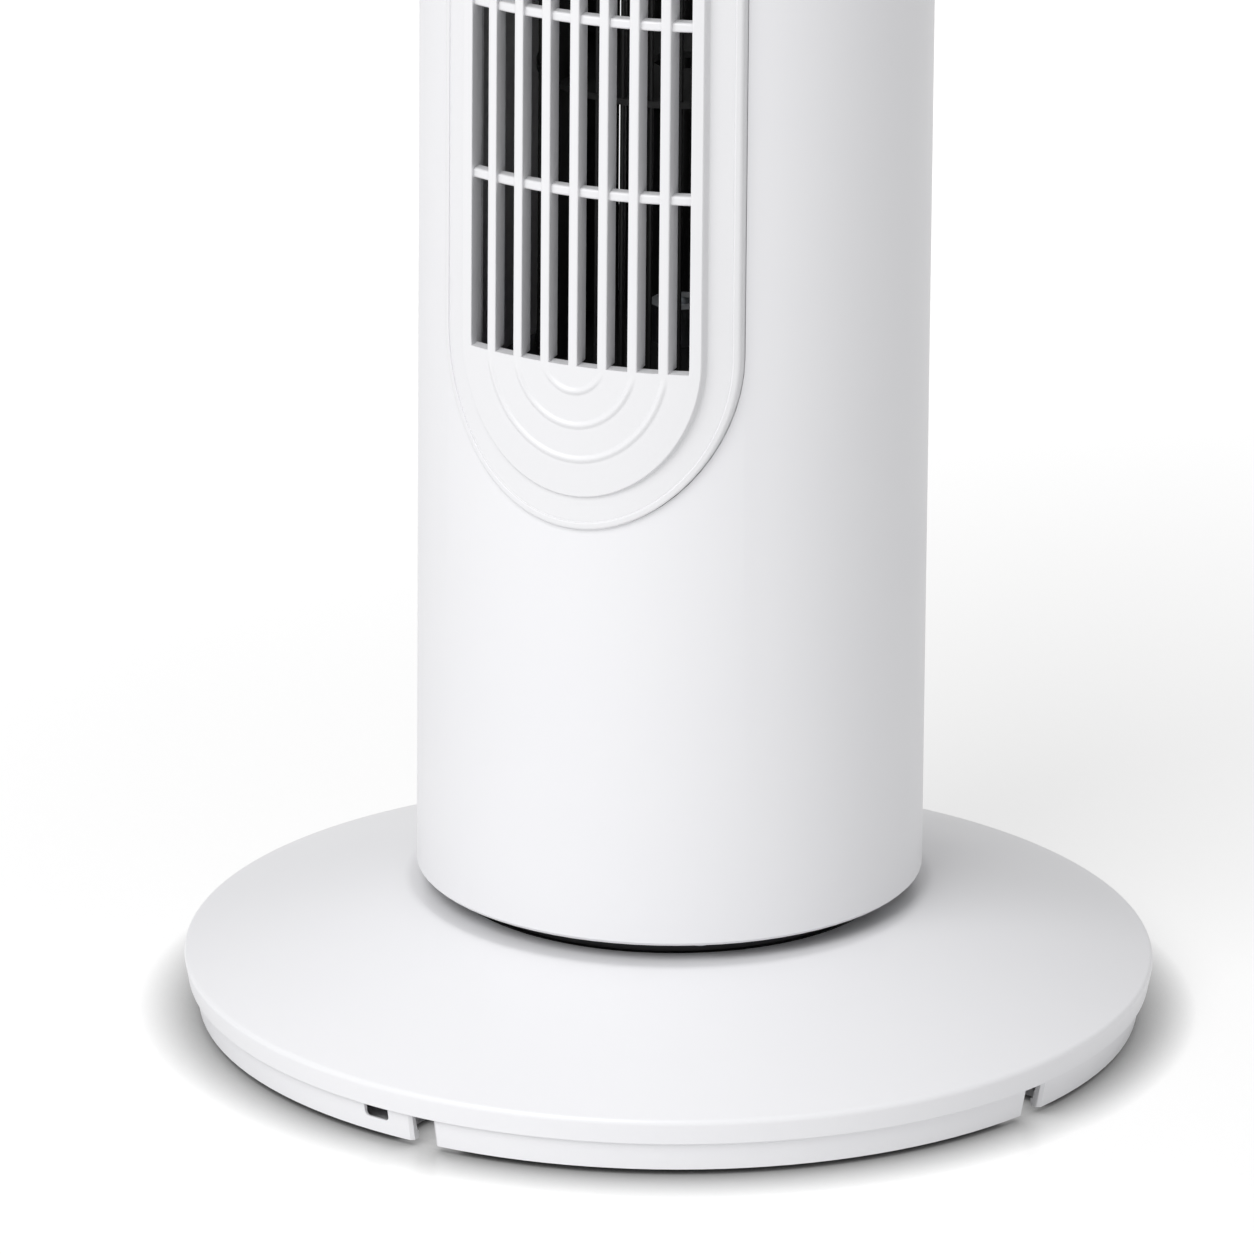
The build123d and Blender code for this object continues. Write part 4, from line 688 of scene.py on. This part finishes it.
@dataclass
class OutletGrille:
    """The front grille: slats that run on past the field as arches, in a frame, a hollow band and a deep rim.

    The face lies on a cylinder that is flatter than the column, and the rim on a rounder one that falls away
    more to the sides. A point is given by x, z and its lift over one of them.
    """

    bottom: float = 232.3
    pane: float = 54.0
    panes: int = 8
    column_radius: float = 78.0
    column_inner: float = 75.5
    face_radius: float = 115.0
    face_proud: float = 1.6
    band_radius: float = 87.0
    band_proud: float = 1.4
    band_recess: float = 0.9
    arch_stretch: float = 1.15
    arch_rise: float = 3.7
    half_width: float = 48.3
    rim: float = 1.8
    frame_inner: float = 35.5
    frame_outer: float = 39.1
    plate: float = 2.6
    end_plate: float = 4.2
    end_overlap: float = 0.8
    end_proud: float = 0.012
    pitch: float = 9.33
    slat_count: int = 7
    slat_width: float = 3.0
    slat_depth: float = 8.0
    slat_draft: float = 0.35
    bar_height: float = 3.0
    bar_depth: float = 4.0
    bar_setback: float = 1.6
    bead_rise: float = 0.6
    bead_reach: float = 1.25
    bead_fade: float = 7.0

    @property
    def top(self) -> float:
        """The upper edge of the open field."""
        return self.bottom + self.pane * self.panes

    def cylinder(self, x: np.ndarray, radius: float, proud: float, lift: np.ndarray) -> np.ndarray:
        """The y of points on a cylinder whose front line stands proud of the column: its axis less the root
        of radius squared less x squared.

        Args:
            x: Across the face.
            radius: The cylinder's.
            proud: How far its front line stands in front of the column's.
            lift: Out of the cylinder, along its radius.

        Returns:
            Values of y.
        """
        return radius - self.column_radius - proud - np.sqrt((radius + lift) ** 2 - x**2)

    def place(self, x: np.ndarray, z: np.ndarray, lift: np.ndarray, share: np.ndarray = 0.0) -> np.ndarray:
        """Puts points onto the face's cylinder, the rim's, or between the two.

        Args:
            x: Across the face.
            z: Up the face.
            lift: Out of the cylinder.
            share: 0 for the face's cylinder and 1 for the rim's.

        Returns:
            Points with a last axis of 3.
        """
        x, z, lift, share = np.broadcast_arrays(x, z, lift, share)
        face = self.cylinder(x, self.face_radius, self.face_proud, lift)
        rim = self.cylinder(x, self.band_radius, self.band_proud, lift)
        return np.stack([x, face * (1 - share) + rim * share, z], -1)

    @property
    def beads(self) -> np.ndarray:
        """The distances of the beads' crests, just inside the outer edge of each slat's arch."""
        slats = self.pitch * np.arange(1, self.slat_count // 2 + 1)
        return slats + self.slat_width / 2 - self.bead_reach / 2

    def relief(self, distance: np.ndarray, below: np.ndarray) -> np.ndarray:
        """How far the beads stand out of the end plate, which is flush with the slats and the frame.

        A bead's section is (1 - u squared) squared, where u is the distance from its crest over its reach. It
        grows out of its slat over the first millimetres beyond the field's end.

        Args:
            distance: From the arches' middle, as half width of the arch through the point.
            below: The distance beyond the field's end.

        Returns:
            The lift over the face's cylinder.
        """
        from_crest = (distance - self.beads.reshape((-1,) + (1,) * np.ndim(distance))) / self.bead_reach
        section = (np.clip(1 - from_crest**2, 0, 1) ** 2).max(axis=0)
        return self.bead_rise * section * smooth_step(below / self.bead_fade)

    def band_profile(self) -> tuple[np.ndarray, np.ndarray, np.ndarray]:
        """The section of the frame, the hollow band beside it and the rim, as a closed outline.

        Returns:
            Distance from the middle line, lift, and the share of the rim's cylinder. A lift below twice the
            slats' depth stands for the column's inner wall.
        """
        deep = -self.slat_depth
        hollow, rim_inner = -self.band_recess, self.half_width - self.rim
        corners = np.array(
            [
                (self.frame_inner, deep, 0.0),
                (self.frame_inner, 0.0, 0.0),
                (self.frame_outer, 0.0, 0.0),
                (self.frame_outer + 0.25, hollow, 1.0),
                (self.frame_outer + 3.0, hollow + 0.1, 1.0),
                (rim_inner - 0.6, hollow + 0.35, 1.0),
                (rim_inner - 0.2, hollow + 0.3, 1.0),
                (rim_inner, 0.0, 1.0),
                (self.half_width, 0.0, 1.0),
                (self.half_width, 3 * deep, 1.0),
                (rim_inner, 3 * deep, 1.0),
                (rim_inner, hollow - self.plate, 1.0),
                (self.frame_outer, hollow - self.plate, 1.0),
                (self.frame_outer, deep, 0.0),
            ]
        )
        radii = np.array([0.3, 0.5, 0.35, 0.4, 3.0, 0.5, 0.15, 0.35, 0.7, 0, 0, 0.3, 0.3, 0.3])
        outline = rounded_loop(corners, radii, 5)
        return outline[:, 0], outline[:, 1], outline[:, 2]

    def end_distances(self) -> np.ndarray:
        """Distances at which the end plate is cut, closer where the beads are."""
        start, end = self.arch_rise / self.arch_stretch, self.frame_inner + self.end_overlap
        on_bead = self.beads[:, None] + np.linspace(-1, 1, 15) * self.bead_reach
        every = np.concatenate([on_bead.ravel(), np.linspace(start, end, 50)])
        return np.unique(np.round(every[(every >= start) & (every <= end)], 3))

    def add_band(self, skin: Skin) -> None:
        """Carries the band's section up one side, over the upper arch, down the other side and under.

        A point on an arch is the arch's middle plus the distance times the cosine of its angle across, and
        times the sine and the arches' stretch upwards. The rim's two lowest corners lie on the column's
        inner wall.
        """
        low, high = self.bottom + self.arch_rise, self.top - self.arch_rise
        span = np.linspace(0, 1, 60)
        turn = np.linspace(0, np.pi, 121)[1:-1]
        centre_z = np.concatenate(
            [low + span * (high - low), 0 * turn + high, high - span * (high - low), 0 * turn + low]
        )
        angle = np.concatenate([0 * span, turn, 0 * span + np.pi, np.pi + turn])[:, None]
        distance, lift, share = (values[None, :] for values in self.band_profile())
        x = distance * np.cos(angle)
        z = centre_z[:, None] + self.arch_stretch * distance * np.sin(angle)
        grid = self.place(x, z, np.maximum(lift, -self.slat_depth), share)
        wall = -np.sqrt(self.column_inner**2 - x**2)
        grid[..., 1] = np.where(lift < -2 * self.slat_depth, wall, np.minimum(grid[..., 1], 0 * x + wall))
        skin.add_grid(grid, wrap_rows=True, wrap_columns=True, flip=True)

    def add_ends(self, skin: Skin) -> None:
        """Lays the two end plates, whose lift is the relief at each distance from the arches' middle.

        Each line of one distance runs from the field's end on one side to the field's end on the other. The
        edge there is closed by a wall from the relief down to the plate's back. The plate's outer edge laps
        over the frame's rounded edge, proud of it by a hair, so that no line shows between them.
        """
        distance = self.end_distances()
        back = -self.end_plate
        depth = np.linspace(0, 1, 4)[:, None]
        for centre, side in ((self.bottom + self.arch_rise, -1), (self.top - self.arch_rise, 1)):
            start = np.arcsin(np.clip(self.arch_rise / (self.arch_stretch * distance), 0, 1))
            angle = start + np.linspace(0, 1, 121)[:, None] * (np.pi - 2 * start)
            x = distance * np.cos(angle)
            below = self.arch_stretch * distance * np.sin(angle)
            lift = self.end_proud + self.relief(0 * below + distance, below - self.arch_rise)
            front = self.place(x, centre + side * below, lift)
            behind = self.place(x, centre + side * below, back + 0 * x)
            skin.add_grid(front, flip=side > 0)
            skin.add_grid(behind, flip=side < 0)
            edge_x = np.concatenate([x[0, ::-1], x[-1, 1:]])
            edge_lift = np.concatenate([lift[0, ::-1], lift[-1, 1:]])
            edge = self.place(
                edge_x, centre + side * self.arch_rise, edge_lift * (1 - depth) + back * depth
            )
            skin.add_grid(edge, flip=side < 0)

    def add_slats(self, skin: Skin) -> None:
        """Runs each slat's section, a rounded bar that narrows to the back, from end to end of the field."""
        half, tail = self.slat_width / 2, self.slat_width / 2 - self.slat_draft
        corners = np.array([(-half, 0), (half, 0), (tail, -self.slat_depth), (-tail, -self.slat_depth)])
        section = rounded_loop(corners, np.array([0.45, 0.45, 0.8, 0.8]))
        z = np.linspace(self.bottom, self.top, 9)[:, None]
        for step in range(self.slat_count):
            middle = (step - (self.slat_count - 1) / 2) * self.pitch
            grid = self.place(middle + section[None, :, 0], z, section[None, :, 1])
            skin.add_grid(grid, wrap_columns=True, flip=True)

    def add_bars(self, skin: Skin) -> None:
        """Runs each cross bar's rounded section from frame to frame, set back behind the slats' fronts."""
        half = self.bar_height / 2
        front, rear = -self.bar_setback, -self.bar_setback - self.bar_depth
        corners = np.array([(-half, front), (half, front), (half, rear), (-half, rear)])
        section = rounded_loop(corners, np.array([0.8, 0.8, 0.5, 0.5]))
        x = np.linspace(-self.frame_inner - 0.5, self.frame_inner + 0.5, 41)[:, None]
        for step in range(1, self.panes):
            level = self.bottom + step * self.pane
            grid = self.place(x, level + section[None, :, 0], section[None, :, 1])
            skin.add_grid(grid, wrap_columns=True)

    def build(self) -> None:
        """Makes the grille as one moulding in place of its CAD node."""
        skin = Skin("outlet_grille")
        self.add_band(skin)
        self.add_ends(skin)
        self.add_slats(skin)
        self.add_bars(skin)
        skin.build(GRILLE_ABS, "tower", "grille_white", ("front_grille",))


@dataclass
class TurnedShell:
    """A moulding that is round about the column's axis: one closed section, turned in fine steps.

    Attributes:
        name: The piece's name.
        node: The CAD node that it stands for.
        body: The CAD body that it rides on.
        slot: The record's material slot.
        finish: What it is made of.
        corners: The section's corners as radius and level, in order.
        radii: The rounding of each corner.
        turns: Steps round the axis.
    """

    name: str
    node: str
    body: str
    slot: str
    finish: MouldedPlastic
    corners: np.ndarray
    radii: np.ndarray
    turns: int = 288

    def build(self) -> None:
        """Turns the section: each of its points (r, z) goes to (r cos a, r sin a, z) for every angle a."""
        section = rounded_loop(self.corners, self.radii, 8)
        angle = np.linspace(0, 2 * np.pi, self.turns, endpoint=False)[:, None]
        r, z = section[None, :, 0], section[None, :, 1]
        skin = Skin(self.name, sharp_degrees=35.0)
        skin.add_grid(
            np.stack([r * np.cos(angle), r * np.sin(angle), z + 0 * angle], -1),
            wrap_rows=True,
            wrap_columns=True,
        )
        skin.build(self.finish, self.body, self.slot, (self.node,))


@dataclass
class BaseCover:
    """The base's upper moulding: a rim band, a shallow dome, and a ledge round the turntable's recess.

    The screw bosses under it are left out, since no side shows them.
    """

    radius: float = 150.0
    rim_bottom: float = 148.5
    bottom: float = 11.3
    rim_top: float = 19.1
    rim_edge: float = 2.0
    crown: float = 0.8
    ledge_radius: float = 81.0
    ledge_top: float = 42.5
    recess_radius: float = 67.6
    recess_floor: float = 40.2
    bore: float = 12.2
    wall: float = 2.5
    dome_steps: int = 24

    def dome(self, outer: tuple[float, float], inner: tuple[float, float]) -> np.ndarray:
        """The dome's arc between two points, as its chord plus a parabola: 4 crown t (1 - t) upwards."""
        share = np.linspace(0, 1, self.dome_steps + 1)[:, None]
        chord = np.array(outer) * (1 - share) + np.array(inner) * share
        return chord + np.array([0.0, 4 * self.crown]) * share * (1 - share)

    def build(self) -> None:
        """Gathers the section from the rim inwards over the top, and back underneath."""
        wall = self.wall
        over = self.dome((self.radius, self.rim_top), (self.ledge_radius, self.ledge_top))
        rim_under = (self.radius - wall, self.rim_top - wall)
        ledge_under = (self.ledge_radius, self.ledge_top - wall)
        under = self.dome(rim_under, ledge_under)
        top_edges = [(self.recess_radius, self.ledge_top), (self.recess_radius, self.recess_floor)]
        bore = [(self.bore, self.recess_floor), (self.bore, self.recess_floor - wall)]
        inside = self.recess_radius + wall
        under_edges = [(inside, self.recess_floor - wall), (inside, self.ledge_top - wall)]
        feet = [(self.rim_bottom - wall, self.bottom), (self.rim_bottom, self.bottom)]
        corners = np.vstack([over, top_edges, bore, under_edges, under[::-1], feet])
        radii = np.zeros(len(corners))
        radii[0] = self.rim_edge
        radii[self.dome_steps] = 30.0
        radii[self.dome_steps + 1] = 0.8
        radii[-2:] = 0.3
        TurnedShell("dome_cover", "base_cover", "base", "base_white", BASE_ABS, corners, radii).build()


@dataclass
class TopCap:
    """The cap over the column: a rounded shoulder, a seat for the panel, and a spigot in the shells."""

    radius: float = 78.0
    bottom: float = 757.0
    top: float = 780.0
    shoulder: float = 8.0
    panel_radius: float = 60.2
    panel_seat: float = 776.0
    ledge_radius: float = 56.2
    underside: float = 773.5
    bevel: float = 4.0
    spigot_outer: float = 75.3
    spigot_inner: float = 73.2
    spigot_bottom: float = 752.0

    def build(self) -> None:
        """Gathers the section from the shoulder inwards, and back down inside the spigot."""
        corners = np.array(
            [
                (self.radius, self.bottom),
                (self.radius, self.top),
                (self.panel_radius, self.top),
                (self.panel_radius, self.panel_seat),
                (self.ledge_radius, self.panel_seat),
                (self.ledge_radius, self.underside),
                (self.spigot_inner - self.bevel, self.underside),
                (self.spigot_inner, self.underside - self.bevel),
                (self.spigot_inner, self.spigot_bottom),
                (self.spigot_outer, self.spigot_bottom),
                (self.spigot_outer, self.bottom),
            ]
        )
        radii = np.array([0.3, self.shoulder, 0.5, 0.2, 0.2, 0.2, 0.5, 0.5, 0.2, 0.2, 0.2])
        cap = TurnedShell("shoulder_cap", "top_cap", "tower", "shell_white", HOUSING_ABS, corners, radii, 240)
        cap.build()


@dataclass
class Dressing:
    """The CAD nodes whose shape is right as it is: each gets its finish."""

    finishes: dict[Any, tuple[str, ...]]

    def build(self) -> None:
        """Gives every node its material, and says which nodes have none."""
        bare = set(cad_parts)
        for finish, names in self.finishes.items():
            material = finish_material(finish)
            for name in names:
                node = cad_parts[name]
                node.data.materials.clear()
                node.data.materials.append(material)
                bare.discard(name)
                LOG.info("%s: %s", name, finish.name)
        if bare:
            LOG.warning("nodes without a finish: %s", sorted(bare))


@dataclass
class Softbox:
    """A square area lamp aimed at a point.

    Attributes:
        name: The lamp's name.
        azimuth: Degrees round the object, 0 in front of the outlet and 90 on its +X side.
        elevation: Degrees above the floor.
        distance: Metres from its aim.
        size: Metres along its side.
        watts: Its power.
        aim: The point that it faces, in metres.
    """

    name: str
    azimuth: float
    elevation: float
    distance: float
    size: float
    watts: float
    aim: tuple[float, float, float] = (0.0, 0.0, 0.25)

    def build(self) -> None:
        """Hangs the lamp and turns it to its aim."""
        lamp = bpy.data.lights.new(self.name, "AREA")
        lamp.energy = self.watts
        lamp.size = self.size
        lamp.color = (1.0, 1.0, 1.0)
        holder = bpy.data.objects.new(self.name, lamp)
        back = away(self.azimuth, self.elevation)
        holder.location = Vector(self.aim) + back * self.distance
        holder.rotation_euler = (-back).to_track_quat("-Z", "Y").to_euler()
        bpy.context.scene.collection.objects.link(holder)
        LOG.info("%s: %.0f W", self.name, self.watts)


def away(azimuth: float, elevation: float) -> Vector:
    """The direction from the object to a place round it.

    Args:
        azimuth: Degrees, 0 in front of the outlet and 90 on its +X side.
        elevation: Degrees above the floor.

    Returns:
        A vector of length 1.
    """
    a, e = math.radians(azimuth), math.radians(elevation)
    return Vector((math.sin(a) * math.cos(e), -math.cos(a) * math.cos(e), math.sin(e)))


@dataclass
class Studio:
    """The pale room: a white floor, a dim even sky, one large softbox, and the camera."""

    sky: float = 0.55
    camera_azimuth: float = 22.48
    camera_elevation: float = 20.6
    camera_distance: float = 4.5
    lens: float = 417.3
    yaw_degrees: float = -0.175
    pitch_degrees: float = 1.282
    roll_degrees: float = 0.45
    aim: tuple[float, float, float] = (0.0, 0.0, 0.017)

    def build_world(self) -> None:
        """Makes a sky that lights evenly and that the camera and reflections see as white."""
        world = bpy.data.worlds.new("studio_sky")
        world.use_nodes = True
        tree = world.node_tree
        tree.nodes.clear()
        path = add_node(tree, "ShaderNodeLightPath")
        strength = add_node(
            tree,
            "ShaderNodeMapRange",
            {"Value": path.outputs["Is Camera Ray"], "To Min": self.sky, "To Max": 1.0},
        )
        sky = add_node(
            tree,
            "ShaderNodeBackground",
            {"Color": linear("#FFFFFF"), "Strength": strength.outputs["Result"]},
        )
        add_node(tree, "ShaderNodeOutputWorld", {"Surface": sky.outputs[0]})
        bpy.context.scene.world = world

    def build_floor(self) -> None:
        """Lays the floor as a wide disc under the object, as rings of points round its middle."""
        reach = np.array([0.0, 0.6, 2.0, 8.0, 30.0])[:, None]
        turn = np.linspace(0, 2 * np.pi, 64, endpoint=False)
        x, y = reach * np.cos(turn), reach * np.sin(turn)
        grid = np.stack([x, y, np.zeros_like(x)], -1)
        number = np.arange(grid[..., 0].size).reshape(grid.shape[:2])
        number = np.hstack([number, number[:, :1]])
        corners = (number[:-1, :-1], number[1:, :-1], number[1:, 1:], number[:-1, 1:])
        mesh = bpy.data.meshes.new("floor")
        mesh.from_pydata(grid.reshape(-1, 3), [], np.stack([c.ravel() for c in corners], 1))
        mesh.materials.append(finish_material(StudioFloor()))
        floor = bpy.data.objects.new("floor", mesh)
        bpy.context.scene.collection.objects.link(floor)

    def build_camera(self) -> None:
        """Sets the camera at its place round the base's middle, turned off it by small angles."""
        data = bpy.data.cameras.new("camera")
        data.sensor_width = 36.0
        data.lens = self.lens
        data.clip_end = 100.0
        camera = bpy.data.objects.new("camera", data)
        back = away(self.camera_azimuth, self.camera_elevation)
        right = away(self.camera_azimuth + 90, 0.0)
        up = back.cross(right)
        look = -back + math.tan(math.radians(self.yaw_degrees)) * right
        look += math.tan(math.radians(self.pitch_degrees)) * up
        turn = look.normalized().to_track_quat("-Z", "Y").to_matrix().to_4x4()
        turn = turn @ Matrix.Rotation(math.radians(self.roll_degrees), 4, "Z")
        camera.matrix_world = Matrix.Translation(Vector(self.aim) + back * self.camera_distance) @ turn
        bpy.context.scene.collection.objects.link(camera)
        bpy.context.scene.camera = camera

    def build(self) -> None:
        """Builds the room."""
        self.build_world()
        self.build_floor()
        Softbox("key_softbox", -8.0, 40.0, 2.6, 1.6, 44.0).build()
        self.build_camera()
        bpy.context.scene.view_settings.view_transform = "Standard"


def main() -> None:
    """Builds the sub-assemblies in order."""
    logging.basicConfig(level=logging.INFO, format="%(name)s %(message)s")
    Dressing(NODE_FINISHES).build()
    OutletGrille().build()
    BaseCover().build()
    TopCap().build()
    Studio().build()


if __name__ == "__main__":
    main()
